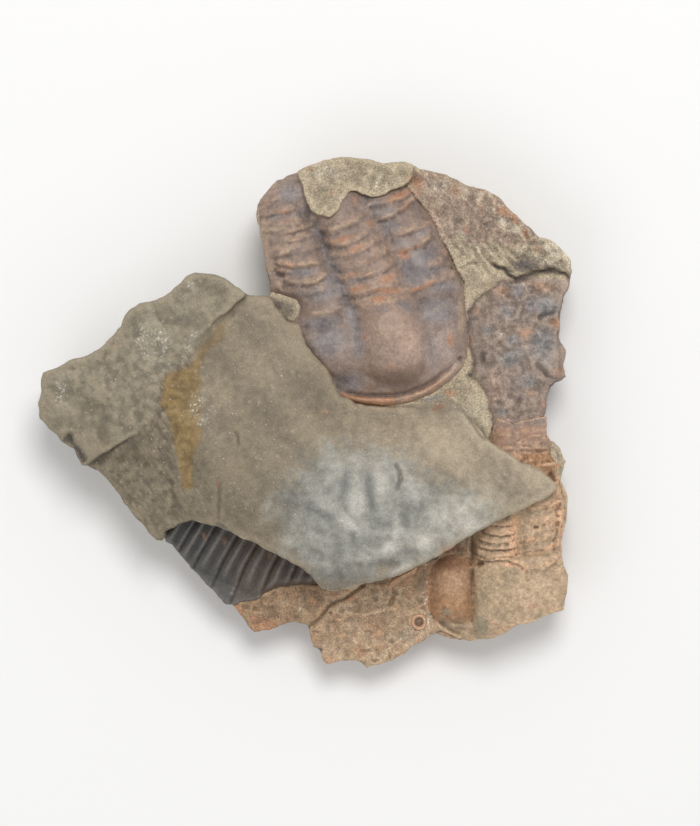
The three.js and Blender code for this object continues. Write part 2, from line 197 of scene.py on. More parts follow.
def line_distance(points, x, y):
    """Distance to an open line, how far along it the nearest point is, and the side: +1 on its left."""
    points = np.array(points, np.float32)
    lengths = np.hypot(*np.diff(points, axis=0).T)
    whole, done = lengths.sum(), 0.0
    nearest = np.full(x.shape, 1e9, np.float32)
    share_at, side_at = np.zeros(x.shape, np.float32), np.ones(x.shape, np.float32)
    for (ax, ay), (bx, by), length in zip(points, points[1:], lengths):
        ex, ey = bx - ax, by - ay
        share = np.clip(((x - ax) * ex + (y - ay) * ey) / length**2, 0, 1)
        square = (x - ax - share * ex) ** 2 + (y - ay - share * ey) ** 2
        closer = square < nearest
        nearest = np.where(closer, square, nearest)
        share_at = np.where(closer, (done + share * length) / whole, share_at)
        side_at = np.where(closer, np.sign(ex * (y - ay) - ey * (x - ax)), side_at)
        done += length
    return np.sqrt(nearest), share_at, side_at


def groove(points, width, x, y, taper=0.25):
    """1 on a line, 0 away from it, fading out towards both ends."""
    distance, share, _ = line_distance(points, x, y)
    return bell(distance, width) * smooth(0, taper, share) * smooth(0, taper, 1 - share)


def scarp(points, width, reach, x, y):
    """A step along a line: 0 on its right, 1 close on its left, falling back to 0 over the reach."""
    distance, share, side = line_distance(points, x, y)
    step = smooth(-width, width, distance * side)
    return step * np.clip(1 - distance / reach, 0, 1) * smooth(0, 0.15, share) * smooth(0, 0.15, 1 - share)


def spot(x0, y0, rx, ry, x, y, turn=0):
    """1 in the middle of an oval, 0 away from it. turn is in degrees."""
    c, s = math.cos(math.radians(turn)), math.sin(math.radians(turn))
    dx, dy = x - x0, y - y0
    return np.exp(-(((c * dx + s * dy) / rx) ** 2) - ((c * dy - s * dx) / ry) ** 2)


def stations(pairs, v):
    """A value read off a list of (length, value) pairs."""
    at, values = zip(*pairs)
    return np.interp(v, at, values)


def spots(places, x, y):
    """The strongest of several ovals, each (x, y, half length, half width, turn in degrees, strength)."""
    strongest = np.zeros(x.shape, np.float32)
    for x0, y0, rx, ry, turn, strength in places:
        strongest = np.maximum(strongest, strength * spot(x0, y0, rx, ry, x, y, turn))
    return strongest


def lines(strokes, x, y):
    """The sum of several lines, each (points, width, height). A groove's height is negative."""
    return sum(height * groove(points, width, x, y, 0.2) for points, width, height in strokes)


def steps(edges, reach, x, y, soft=0.22):
    """Overlapping plates, each (front edge, height): a sharp step up at the edge, then a long slope."""
    return sum(rise * scarp(points, soft, reach, x, y) for points, rise in edges)


def along_steps(edges, offset, width, x, y):
    """1 along the edges of overlapping plates, that far up the slope from each edge."""
    strongest = np.zeros(x.shape, np.float32)
    for points, _ in edges:
        distance, share, side = line_distance(points, x, y)
        strength = smooth(0, 0.12, share) * smooth(0, 0.12, 1 - share)
        strongest = np.maximum(strongest, bell(distance * side - offset, width) * strength)
    return strongest


WARP, GRAIN, BEDS, MOTTLE = (Noise(seed) for seed in (3, 11, 23, 37))


def worn(x, y, broad, fine, sizes, shifts):
    """The same places moved a little, broadly and finely, so that what is drawn through them looks worn."""
    large, small = sizes
    wx = x + broad * WARP(x, y, shifts[0], size=large) + fine * GRAIN(x, y, size=small)
    wy = y + broad * WARP(x, y, shifts[1], size=large) + fine * GRAIN(x, y, 3.5, size=small)
    return wx, wy


UPPER_WEAR = (0.45, 0.18, (3.5, 1.3), (0.0, 5.5))
LOWER_RIGHT_WEAR = (0.3, 0.15, (3, 1.1), (2.5, 6.5))

# ---------------------------------------------------------------- the stone's surfaces


def plane(x0, y0, z0, along_x, along_y):
    return lambda x, y: z0 + along_x * (x - x0) + along_y * (y - y0)


def lowest(planes, x, y, soften=0.9):
    total = sum(np.exp(-height(x, y) / soften) for height in planes)
    return -soften * np.log(total)


WAVES = [(0.28, 0.31, 0.17, 1.1), (0.22, 0.23, -0.41, 0.4), (0.14, 0.62, 0.55, 2.3)]


def uneven(x, y):
    return sum(height * np.sin(ax * x + ay * y + phase) for height, ax, ay, phase in WAVES)


CLEFT = [
    (31, 25.9), (31.9, 25.6), (32.8, 25), (33.8, 24.9), (34.6, 23.8), (36, 23.1), (37.6, 23.6),
    (39.6, 24.4), (42, 24.5), (44.2, 24.1), (46, 22.4),
]
# Spots on the steep face above the cleft, sunk into the shelf; the stone is also painted dark there as shade.
CLEFT_FACE = [
    (37.6, 25.4, 3, 1.3, 6, 1.2), (41.6, 25, 2.8, 0.7, -8, 0.9), (36.8, 26.8, 1.6, 1, 0, 0.8),
    (34.8, 24.6, 1.2, 0.7, -30, 0.8),
]
BED_CRACK = [
    (-0.2, -36.9), (1.6, -35.6), (2.6, -34.7), (4, -32.8), (5.2, -32), (6.6, -31.6), (8.4, -30.3),
    (10.4, -29),
]
BED_LINES = [
    ([(6.8, -34.2), (8, -34.1), (9.6, -34.5), (11.4, -34.3)], 0.22, 0.35),
    ([(4.8, -35.1), (5.8, -35.3), (6.8, -35.1)], 0.2, 0.3),
    ([(9.6, -31.5), (10.4, -31.4), (11.2, -31.5)], 0.2, 0.3),
    ([(15.1, -29.6), (15.3, -30.6), (14.8, -31.8), (14.3, -33.2)], 0.4, -0.6),
    ([(10.6, -34.2), (12.4, -33.8), (14.2, -33.4)], 0.3, 0.3),
    ([(-3.6, -35), (-2.6, -35.6), (-1, -36.6)], 0.2, -0.3),
    ([(0, -37), (1, -37.2), (2.4, -37.4)], 0.2, -0.4),
    ([(8.6, -29.6), (10, -28.8), (13, -28.8), (14.6, -28.2)], 0.4, -0.5),
]
BED_PITS = [
    (4.3, -32, 0.4, 0.25, 0, 1), (4.2, -34, 0.3, 0.3, 0, 1), (6.2, -33.8, 0.35, 0.25, 0, 1),
    (14.7, -39, 0.4, 0.35, 0, 1.2), (2.2, -40.6, 0.6, 0.5, 0, 1.6), (11.8, -42.4, 0.5, 0.3, 0, 1),
    (14.4, -41.7, 0.35, 0.5, 0, 1), (12, -31.7, 0.4, 0.4, 0, 1), (19.6, -32, 0.6, 0.4, 0, 1),
    (20.2, -33.2, 0.5, 0.3, 0, 0.8), (10.4, -40.6, 0.9, 0.3, 0, 0.7), (7.6, -42.7, 1.2, 0.3, -10, 0.8),
    (-10.4, -33, 0.5, 0.3, 0, 0.8), (-8.7, -33.3, 0.4, 0.3, 0, 0.8), (-1.6, -35, 0.6, 0.4, 0, 0.7),
]
PLUM_LINES = [
    ([(33.2, 20.6), (34, 19.9), (34.8, 19)], 0.25, 0.35),
    ([(36.8, 18.6), (36.3, 17.4), (35.8, 16.1)], 0.3, 0.4),
    ([(39.4, 16.2), (41, 17), (42.8, 17.6)], 0.5, -0.5),
    ([(38.8, 9.2), (40.2, 8), (41.4, 6.6), (42.8, 5.9)], 0.4, -0.6),
    ([(30.4, 11), (30.1, 9.6), (30.6, 8.4)], 0.5, -0.4),
    ([(32.5, 12.2), (33.6, 11.6), (35, 10.6)], 0.5, -0.4),
    ([(34.5, 3.6), (36, 2.4), (37, 1.4)], 0.7, -0.5),
    ([(31.6, 2.6), (33.4, 2.6), (34.6, 3.6)], 0.3, 0.3),
]


def base_height(x, y):
    """The lowest bed: a rusty, gritty one in front and a plum-coloured, lumpy one behind."""
    height = BASE_HEIGHT + BASE_SLOPE * (y - LOW_EDGE) + 0.6 * uneven(x, y)
    height += 0.14 * GRAIN.rough(x, y, size=2.4, octaves=4, decay=0.7)
    plum = smooth(26, 32, x) * smooth(-6, 0, y)
    height += plum * (0.35 * BEDS.rough(x, y, size=3.6, octaves=4, decay=0.65) - 0.1)
    height -= 1.0 * groove(BED_CRACK, 0.3, x, y, 0.05)
    height += 0.6 * scarp(BED_CRACK, 0.15, 5, x, y)
    height += lines(BED_LINES, x, y) + lines(PLUM_LINES, x, y)
    height -= 0.55 * spots(BED_PITS, x, y) + 1.4 * groove(CLEFT, 0.6, x, y, 0.05)
    height += 0.5 * spots([(32.8, 13.6, 0.9, 0.8, 0, 1), (37.4, 13.6, 1.6, 1.2, 30, 0.5)], x, y)
    grit = smooth(17, 20, x) * smooth(-27, -33, y)
    height += grit * 0.3 * np.maximum(GRAIN(x, y, size=0.8), 0)
    return height


SHELF_LINES = [
    ([(26.2, 24.6), (27.4, 25.5), (28.6, 25.9), (29.6, 25.6)], 0.2, -0.3),
    ([(16.5, 41.4), (18.6, 40.7), (20.4, 40), (22.4, 40)], 0.3, -0.7),
    ([(17, 41.9), (19, 41.2), (21, 40.6)], 0.4, 0.4),
    ([(20.6, 38.2), (22, 37.7), (23.4, 37.9)], 0.3, -0.5),
    ([(27.2, 37.6), (28, 36.6), (28.4, 35)], 0.4, 0.4),
    ([(31.4, 35.4), (32.4, 34.2), (32.8, 32.6), (34.2, 30.8)], 0.5, 0.5),
    ([(36.4, 32.8), (37, 31.6), (37.8, 30)], 0.25, -0.5),
    ([(38.8, 30.4), (39.8, 28.8), (40.8, 27)], 0.3, -0.35),
    ([(29.2, 28.8), (29.8, 27.6)], 0.25, 0.4),
    ([(24.1, 26.9), (24.8, 26.1), (25, 25), (24.8, 24.2)], 0.2, -0.6),
    ([(22.8, 28.7), (23.6, 28)], 0.3, -0.5),
    ([(28, 33.8), (28.8, 33.6), (29.8, 33)], 0.4, -0.45),
    ([(28.4, 31.4), (29.8, 31), (30.6, 30.2)], 0.5, -0.45),
]


def shelf_height(x, y):
    """The middle bed, with its splintery bevel towards the far corner."""
    planes = [plane(20, 15, 17.3, 0.01, 0.02), plane(30, 30, 17.3, -0.14, -0.42)]
    height = lowest(planes, x, y) + 0.7 * uneven(x, y)
    bevel = smooth(27, 31, 0.35 * x + 0.75 * y)
    along, across = 0.62 * x - 0.78 * y, 0.78 * x + 0.62 * y
    leaf = across / 2.6 + 0.8 * BEDS.rough(along / 3, across, size=2.6, octaves=3)
    height += bevel * 0.5 * (smooth(0.25, 0.55, leaf - np.floor(leaf)) + np.floor(leaf) - leaf)
    height += bevel * 0.3 * GRAIN.rough(along / 3.5, across, size=1.2, octaves=3, decay=0.6)
    height += 0.08 * GRAIN.rough(x, y, size=2.4, octaves=4, decay=0.65)
    height -= 1.2 * groove(CLEFT, 0.3, x, y, 0.08) + 0.8 * spots([(31.6, 20.9, 4.6, 1.7, 34, 1)], x, y)
    height -= 0.8 * spots(CLEFT_FACE, x, y)
    return height + lines(SHELF_LINES, x, y)


CAP_LUMPS = [
    (13, -11.4, 1.6, 3, 10, 0.4), (8.6, -14, 1.6, 4.6, -4, 0.4), (7.2, -18, 2.6, 1.4, -35, 0.4),
    (17.8, -12.8, 2.2, 2, 0, 0.35), (15.1, -19.4, 0.8, 3, 2, 0.2), (20, -22, 2.2, 1.6, 20, 0.35),
    (14.4, -22.6, 1.8, 1.5, 0, 0.3), (3, -21, 3, 1.2, -30, 0.2), (16, -26.2, 2.2, 0.8, 28, 0.25),
]
CAP_HOLLOWS = [
    (6.8, -11.4, 1.3, 2.6, -20, 0.3), (10.9, -12.8, 1.2, 3.8, 12, 0.45), (13, -18.4, 3, 1.8, 0, 0.3),
    (11.8, -21.6, 2.6, 1.6, 15, 0.4), (3.2, -16.8, 2.8, 1.1, -30, 0.25), (17.8, -23, 1.8, 1, -10, 0.3),
    (12, -25.2, 3, 0.9, 5, 0.25), (16.8, -17.6, 1.1, 2.2, 0, 0.2), (8.4, -21.2, 0.9, 2, 25, 0.25),
]
CAP_LINES = [
    ([(15, -8), (15.8, -9.4), (16.1, -10.8), (15.4, -13)], 0.4, -0.5),
    ([(-14.6, -10.6), (-14.5, -13), (-14.8, -18.4)], 0.3, -0.22),
    ([(-23, -10.4), (-22.6, -13), (-21.8, -15), (-21, -16.6)], 0.5, -0.4),
    ([(26, 1.6), (27, 0.6), (28.4, -1.6), (30, -3.8), (31.4, -4.8)], 0.25, -0.5),
    ([(-11.7, -2.6), (-11.3, -4), (-11.2, -5.4)], 0.2, -0.25),
    ([(18.8, 2), (21, 2.3), (23.8, 3.3)], 0.45, 0.5),
    ([(-13, 17.6), (-12, 17)], 0.6, -0.3),
]
NOTCH = [(-41.4, -5), (-40.1, -3.9), (-39.6, -5), (-38.4, -6.4), (-37.4, -8.4)]
LOW_TERRACE = [(-36.6, -8.6), (-32.5, -8), (-28.5, -8.2), (-26, -9.6), (-25.2, -12)]


def cap_height(x, y):
    """The top bed: a smooth face, a lumpy hump in front, and broken flanks on the left."""
    planes = [
        plane(-8, 10, 20.9, 0.03, -0.22),
        plane(-15, -10, 22.8, 0.3, 0.28),
        plane(8, -22, 27.2, 0, 0.5),
        plane(20, -18, 25.6, -0.28, 0.12),
        plane(20, -5, 21.8, -0.25, -0.25),
    ]
    dip = 4 * spot(15, 3, 13, 6, x, y)
    height = lowest(planes, x, y) - dip + 0.8 * uneven(x, y)
    height += spots(CAP_LUMPS, x, y) - spots(CAP_HOLLOWS, x, y)
    lumpy = smooth(-12, 2, x) * smooth(-5, -12, y)
    height += lumpy * 0.16 * BEDS.rough(x, y, size=4.5, octaves=3)
    height += 0.06 * GRAIN.rough(x, y, size=1.6, octaves=3, decay=0.6)
    flank = smooth(-13, -22, x)
    height += flank * 0.35 * BEDS.rough(x, y, size=5, octaves=5, decay=0.6)
    height -= 0.6 * scarp(LOW_TERRACE, 0.8, 7, x, y) * smooth(-25, -29, x)
    height += lines(CAP_LINES, x, y)
    height -= 2.2 * groove(NOTCH, 0.7, x, y, 0.1)
    return height


def flake_height(x, y):
    """The flake of bed lying on the left end."""
    height = plane(-32, 6, 19.8, 0.08, -0.08)(x, y) - 0.02 * np.maximum(0, -x - 38) ** 2
    height += uneven(x, y) + 0.3 * BEDS.rough(x, y, size=4.5, octaves=5, decay=0.5)
    height += 0.2 * smooth(0.1, 0.5, BEDS(x + 0.5 * y, 0.4 * y, size=3.2)) - 0.2
    chips = [(-26.5, 14.5, 1.6, 2, 0, 1), (-24, 10.6, 0.8, 1.6, 0, 1), (-28.3, 12.4, 1, 1.6, 0, 0.7)]
    height += 0.25 * spots(chips, x, y)
    return height - 1.5 * groove(NOTCH, 0.7, x, y, 0.1)


def tongue_height(x, y):
    """The tongue of bed over the upper trilobite's tail."""
    planes = [plane(4, 35, 21.8, -0.02, -0.28), plane(8, 41, 20.9, -0.05, -0.7)]
    height = lowest(planes, x, y) + 0.25 * BEDS.rough(x, y, size=4, octaves=3)
    height += lines([([(11.6, 37.8), (12.2, 39.6), (13.6, 41.6)], 0.4, 0.3)], x, y)
    return height + 0.12 * GRAIN.rough(x, y, size=1.4, octaves=3)


# ---------------------------------------------------------------- the trilobites


class Axis:
    """The bent line that a trilobite's body follows, from front to tail."""

    def __init__(self, knots):
        knots = np.array(knots, float)
        padded = np.vstack([2 * knots[0] - knots[1], knots, 2 * knots[-1] - knots[-2]])
        points = []
        for a, b, c, d in zip(padded, padded[1:], padded[2:], padded[3:]):
            for t in np.linspace(0, 1, 24, endpoint=False):
                bend = (2 * a - 5 * b + 4 * c - d) * t**2 + (3 * b - a - 3 * c + d) * t**3
                points.append(0.5 * (2 * b + (c - a) * t + bend))
        self.points = np.array(points + [knots[-1]])
        steps = np.diff(self.points, axis=0)
        self.reach = np.concatenate([[0], np.cumsum(np.hypot(*steps.T))])
        self.heading = np.gradient(self.points, axis=0)
        self.heading /= np.hypot(*self.heading.T)[:, None]

    def local(self, x, y):
        """u across to the right and v along the body, for points on the stone."""
        nearest = np.full(x.shape, 1e9)
        u, v = np.zeros(x.shape), np.zeros(x.shape)
        for (px, py), (hx, hy), reach in zip(self.points, self.heading, self.reach):
            dx, dy = x - px, y - py
            square = dx * dx + dy * dy
            closer = square < nearest
            nearest = np.where(closer, square, nearest)
            u = np.where(closer, hy * dx - hx * dy, u)
            v = np.where(closer, reach + hx * dx + hy * dy, v)
        return u, v


UPPER_AXIS = Axis([(15.3, 1.7), (14.9, 10), (13.4, 18), (11.1, 24), (8.5, 30), (5.5, 35.5), (3, 41)])
UPPER_OUTLINE = [
    (5.2, 4), (5.6, 3), (7.4, 2.2), (10, 1.7), (13, 1.5), (16, 1.7), (19, 2.4), (22, 3.8), (24.6, 5.7),
    (26.6, 7.9), (27.5, 10), (27.7, 13), (27.3, 16.5), (27, 20), (26.9, 22.6), (25.4, 25), (24.4, 27.6),
    (22.9, 30), (22.2, 32.2), (20.6, 34.6), (18.6, 37), (16.6, 39.6), (8, 42), (-3, 43), (-10, 39),
    (-10, 30), (-8, 22), (-5.8, 20.9), (-3.4, 20.3), (-1.6, 19.6), (-0.8, 18.4), (-1.3, 16.8), (-2.6, 15.4),
    (-2.4, 12), (0, 8.6), (2.6, 5.6), (4.2, 3.8),
]
UPPER_BASE = 17.0
UPPER_NECK = 20.2
UPPER_LINES = [
    ([(5, 4.5), (7, 3.7), (9, 3.3), (12, 3.2), (15, 3.2), (18, 4), (21, 5.4), (24, 7.3), (25.7, 9),
      (26.4, 11)], 0.4, -0.9),
    ([(5.6, 3.1), (9, 2.4), (13, 2.1), (17, 2.5), (20.5, 3.9), (24, 6.2), (26.6, 9)], 0.75, 0.9),
    ([(-1.4, 14.6), (1, 14.9), (3.2, 15.2), (5.4, 16), (7.4, 17)], 1.0, -0.8),
    ([(0.4, 16.9), (3.4, 17.3), (5.2, 17.8), (7.2, 18.4)], 0.7, 0.35),
    ([(18, 18.9), (21.8, 19.4), (26, 20.2)], 1.0, -0.5),
    ([(10.2, 9), (10.6, 6.8), (12.4, 5.2), (15, 4.6), (18, 5.2), (20, 7), (20.8, 9.4)], 0.9, -0.5),
    ([(26, 23.9), (26.7, 23), (26.9, 21.6)], 0.25, -0.7),
    ([(24.2, 27), (25, 26), (24.9, 24.4)], 0.25, -0.5),
    ([(26, 9.8), (26.8, 9.2), (27.4, 9.3)], 0.4, -0.8),
    ([(-0.8, 12.6), (0.6, 10.6), (2.8, 8.4)], 0.25, -0.35),
    ([(-5.6, 24.9), (-4.6, 23.8), (-3.2, 23.5)], 0.5, -0.8),
]
UPPER_RINGS = [
    ([(0.4, 34.6), (1.1, 32.7), (2.1, 31.1), (3.4, 30.7), (5, 31), (6.8, 31.6), (8.6, 32.5), (9.8, 33.8),
      (10.3, 35.2)], 1.15),
    ([(2.4, 31), (3.1, 29.4), (4.4, 28.5), (6.2, 28.4), (8.2, 29), (10.2, 30.2), (11.4, 31.6),
      (11.9, 33.2)], 1.05),
    ([(3.7, 28.4), (4.4, 26.9), (6, 26.3), (8, 26.7), (10, 27.6), (12, 28.9), (13.2, 30.6)], 0.6),
    ([(4, 26.6), (4.8, 25.2), (6.2, 24.7), (8.2, 25.1), (11, 26.1), (13.6, 27.4), (15, 28.8)], 0.8),
    ([(5, 24.4), (5.9, 22.9), (7.4, 22.5), (9.6, 23.2), (12.4, 24), (15, 25.2), (16.2, 26.2)], 1.0),
    ([(5.8, 22.2), (6.6, 20.6), (8.4, 20.2), (11, 20.8), (14, 21.6), (16.4, 22.7), (17.2, 23.9)], 1.0),
    ([(7, 19.8), (8, 18.6), (10.4, 18.1), (13.4, 18.5), (16.4, 19.4), (18.2, 20.8)], 0.5),
]
UPPER_LEFT_PLATES = [
    ([(-8.4, 35.3), (-7, 35.2), (-5.6, 35.8), (-4, 36.6)], 0.5),
    ([(-8.6, 34), (-6.4, 33.9), (-4, 33.9), (-2.4, 34.4), (-1.2, 35.6)], 0.75),
    ([(-8.6, 33.3), (-7, 32.4), (-5.2, 32), (-3, 32), (-1, 32.4), (0.9, 33.4)], 0.6),
    ([(-8.6, 31.5), (-6.6, 30.8), (-4.4, 30.6), (-2, 30.9), (0, 31.4), (1.8, 32.4)], 0.9),
    ([(-7.9, 30.6), (-6.2, 29.4), (-4.4, 28.8), (-2, 29), (0.6, 29.8), (2.6, 30.8)], 0.55),
    ([(-7.2, 27.5), (-5.6, 26.8), (-3.6, 27), (-1, 27.6), (1.6, 28.1), (3.4, 28.8)], 0.6),
    ([(-6.4, 26.1), (-4.4, 25.2), (-2.4, 24.8), (0, 24.8), (2, 25.5), (4, 26.6)], 0.85),
    ([(-4.6, 22.6), (-2.6, 22.3), (-0.8, 21.8), (1, 21.8), (2.6, 22.5), (5, 24)], 0.85),
    ([(-5.8, 21.7), (-4, 20.6), (-1.8, 20), (1, 20.2), (4, 20.8)], 0.6),
    ([(-8.3, 32.5), (-6.8, 31.7), (-5, 31.4), (-3.4, 31.5)], 0.4),
    ([(-7.6, 29), (-6, 28.2), (-4.4, 27.9), (-2.6, 28.3)], 0.45),
    ([(-6.6, 24.9), (-5.2, 24.1), (-3.6, 23.6), (-2, 23.7)], 0.5),
]
UPPER_RIGHT_PLATES = [
    ([(10, 35.6), (12.4, 35.4), (14.6, 35.6), (16.6, 36.7), (18.6, 38.6)], 1.2),
    ([(11.2, 32.8), (13, 32.7), (15, 33.5), (16.8, 34.7), (18.2, 36.4), (19.2, 38)], 1.4),
    ([(13.6, 30), (16, 30.1), (18, 30.8), (20, 31.5), (22.2, 32.7)], 0.7),
    ([(14.2, 27.5), (17, 27.7), (19, 28.3), (20.8, 29.5), (22, 31.6)], 0.9),
    ([(20.4, 25), (22.4, 25.3), (24, 26.3)], 0.4),
    ([(15.8, 21.3), (18, 20.8), (20, 21.6), (22, 22.5), (24, 22.9), (26.6, 23.8)], 0.9),
]
UPPER_LEFT_FURROW = [
    (-0.2, 37), (0.9, 34), (1.9, 31.4), (3, 28.9), (4, 26.5), (5, 24), (6, 21.6), (7.2, 19), (8.1, 16.4),
    (8.8, 13.6), (9, 10.8), (8.4, 8),
]
UPPER_RIGHT_FURROW = [
    (10.4, 35.6), (11.9, 32.6), (13.3, 30), (14.8, 27.6), (16.2, 25.4), (17.6, 23.2), (18.8, 20.6),
    (19.7, 17.6), (20.6, 14.6), (21.2, 11.6), (20.8, 8.6),
]


def upper_height(x, y):
    """The upper trilobite's back."""
    u, v = UPPER_AXIS.local(x, y)
    inside = -outline_distance(UPPER_OUTLINE, x, y)
    wx, wy = worn(x, y, *UPPER_WEAR)
    across = np.abs(u)
    axis = stations([(0, 5.2), (8, 5.6), (12, 5.5), (18, 5.7), (24, 5.7), (33, 5.2), (42, 4.6)], v)
    beyond = np.maximum(0, across - axis)
    head = smooth(UPPER_NECK + 1, UPPER_NECK - 1, v)

    height = stations([(0, 3), (14, 3.4), (28, 3.1), (36, 2.2), (42, 1.2)], v)
    height = height * (1 - (1 - np.clip(inside / 8, 0, 1)) ** 2.4)

    height += 2.0 * hump(u, axis + 1.2) ** 0.8 * smooth(7, 15, v)
    bulb = np.hypot((x - 15.1) / 5.7, (y - 10.6) / np.where(y < 10.6, 6.0, 8.5))
    height += 3.2 * np.exp(-(bulb**3.6))
    cheeks = [(4.2, 11.4, 4.4, 4.6, 20, 1.0), (24, 13, 2, 3.4, -12, 1.0), (22.6, 16.4, 3.6, 4, 0, 0.8)]
    low_corner = [(6.8, 5.6, 2.8, 2, -25, 1.1), (4.8, 6.6, 1.2, 0.9, -30, 0.6), (10.6, 4.2, 1.6, 0.8, 0, 0.5)]
    height += head * (spots(cheeks, wx, wy) - spots(low_corner, x, y))
    height += (1 - head) * 0.7 * np.sin(np.pi * np.clip(beyond / 8.5, 0, 1))

    uneven_rise = 0.7 + 0.55 * WARP(x + 9, y, size=3)
    plates = steps(UPPER_RINGS, 2.6, wx, wy, 0.62) + steps(UPPER_LEFT_PLATES, 2.1, wx, wy, 0.4)
    height += uneven_rise * (plates + steps(UPPER_RIGHT_PLATES, 2.4, wx, wy, 0.5))
    body = smooth(12, 20, v)
    depth = (0.35 + 0.75 * body) * (0.85 + 0.5 * WARP(x, y, 8.2, size=4))
    height -= depth * groove(UPPER_LEFT_FURROW, 1.5, wx, wy, 0.12)
    height -= (0.2 + 0.35 * body) * groove(UPPER_RIGHT_FURROW, 1.5, wx, wy, 0.12)
    outer_left = smooth(-4, -9, x) * smooth(20, 24, y)
    height -= 1.4 * outer_left * (1 - 0.5 * smooth(33, 38, y))
    height += lines(UPPER_LINES, 0.5 * (x + wx), 0.5 * (y + wy))
    height += 0.14 * GRAIN.rough(x, y, size=1.6, octaves=3) * (0.4 + 0.6 * smooth(18, 24, v))
    height += 0.25 * WARP(x, y, 4.4, size=5)
    return UPPER_BASE + np.maximum(height, 0.1)


LOWER_RIGHT_AXIS = Axis([(33.6, -39.5), (33.4, -30), (32.4, -22), (33, -12), (35.4, 1)])
LOWER_RIGHT_OUTLINE = [
    (32.6, -0.6), (31.9, -2.4), (31.8, -4.8), (30, -8), (28.5, -14), (27.6, -19), (27.6, -22), (27.7, -24),
    (26.6, -24), (24.4, -24.2), (22.8, -24.8), (21.6, -26.4), (20.9, -29.5), (21, -33), (21.9, -35.4),
    (23.6, -37.2), (25.6, -38.2), (27.5, -38.8), (30, -41), (47, -41), (47, -20), (45, -14), (43, -10),
    (42.8, -8.4), (41.8, -7), (42, -4.6), (41.8, -1), (41.8, -0.2), (39, -0.5), (37, -1), (35.4, -1.5),
    (34.2, -1),
]
LOWER_RIGHT_NECK = 14.4
LOWER_RIGHT_LINES = [
    ([(29.2, -25.5), (30.4, -25.4)], 0.4, -0.8),
    ([(28.5, -25), (28.4, -28), (28.7, -32), (28.6, -36.5)], 0.4, -0.55),
    ([(37, -17), (37.3, -20), (37.2, -23.6)], 0.9, -0.2),
    ([(35.5, -16), (35.8, -20), (35.6, -24.4)], 0.8, 0.6),
    ([(41, -26.1), (42.2, -25.2), (43.2, -24.2)], 0.2, 0.5),
    ([(42.8, -24), (43.2, -21), (43.7, -18), (43.9, -14.4)], 0.4, 0.8),
    ([(41, -16), (42.4, -15.4), (43.8, -14.6)], 0.4, 0.6),
    ([(37.4, -21.8), (38.4, -21.4), (39.4, -21.1)], 0.3, 0.4),
    ([(38.8, -19.3), (39.8, -19.2)], 0.3, -0.4),
    ([(22.4, -34.6), (23.6, -36), (25.2, -37), (27, -37.6)], 0.5, -0.6),
    ([(21.8, -35.2), (23.2, -36.9), (25.2, -38), (27.4, -38.4)], 0.4, 0.5),
    ([(35.5, 0.6), (35.6, -2), (35.4, -4), (35.6, -6)], 0.5, -0.25),
    ([(35.6, -5.2), (37, -4.4), (38.6, -3.7), (41, -3.2)], 0.22, 0.55),
    ([(39.4, -4.9), (40.2, -4.5), (41, -3.8)], 0.22, 0.45),
    ([(36, -6), (38, -6.1), (41.6, -6.2)], 0.3, -0.6),
    ([(36.8, -5.5), (37.8, -5.3), (38.8, -5.6)], 0.35, -0.5),
    ([(39.8, -9), (41, -8.6), (42.4, -8.4), (43.2, -8.8)], 0.35, 0.8),
    ([(41.4, -9.8), (42.4, -10.4), (42.8, -11.6)], 0.5, -0.9),
    ([(43.2, -9.4), (43, -12), (43.6, -13.8)], 0.4, 0.5),
]
LOWER_RIGHT_RINGS = [
    ([(29.6, -16), (31, -16.8), (33, -17.2), (36, -17)], 0.5),
    ([(29.8, -18), (31, -18.7), (33, -19.1), (35.8, -18.8)], 0.5),
    ([(29.4, -19.4), (30.6, -20.3), (32.6, -20.7), (35.2, -20.3), (36.4, -19.8)], 0.65),
    ([(29, -20.7), (30.2, -21.6), (32.4, -22), (34.8, -21.6), (36.4, -21)], 0.5),
    ([(28.4, -21.4), (29.8, -22.5), (32, -23), (34.4, -23), (36.6, -22.4)], 0.7),
    ([(27.9, -22.8), (29.4, -24), (31, -24.4), (33.4, -24.2), (36, -23.8)], 0.45),
    ([(28.4, -24.4), (30, -25), (32, -25), (34.5, -24.8), (37, -25.6), (37.8, -26.8)], 0.6),
]
LOWER_RIGHT_PLATES = [
    ([(37.8, -16.3), (39, -16.4), (42, -15.6), (44.6, -14.4)], 0.35),
    ([(37.6, -18.7), (39.6, -18.7), (42.4, -18.3), (44.6, -17.6)], 0.5),
    ([(38.4, -20.3), (40, -20), (42.6, -19.2), (44.6, -18.4)], 0.35),
    ([(37.2, -22.2), (39.4, -21.8), (42, -21), (44.4, -19.8)], 0.45),
    ([(38, -24.4), (40.6, -23.8), (42.6, -22.9), (44.2, -21.8)], 0.45),
    ([(37.6, -26.6), (39.4, -26.4), (41, -26.2), (42.4, -25.2), (43.6, -23.9)], 0.6),
]
RED_SEGMENTS = [
    ([(31.2, -3.6), (33.2, -3.8), (35.4, -3.6)], 0.2),
    ([(32, -5.9), (33.8, -6.2), (35.6, -5.9)], 0.3),
    ([(35.8, -3.4), (38.6, -2.9), (42, -2.6)], 0.2),
    ([(36.2, -6.2), (38.6, -6.3), (41.8, -6.1)], 0.5),
]


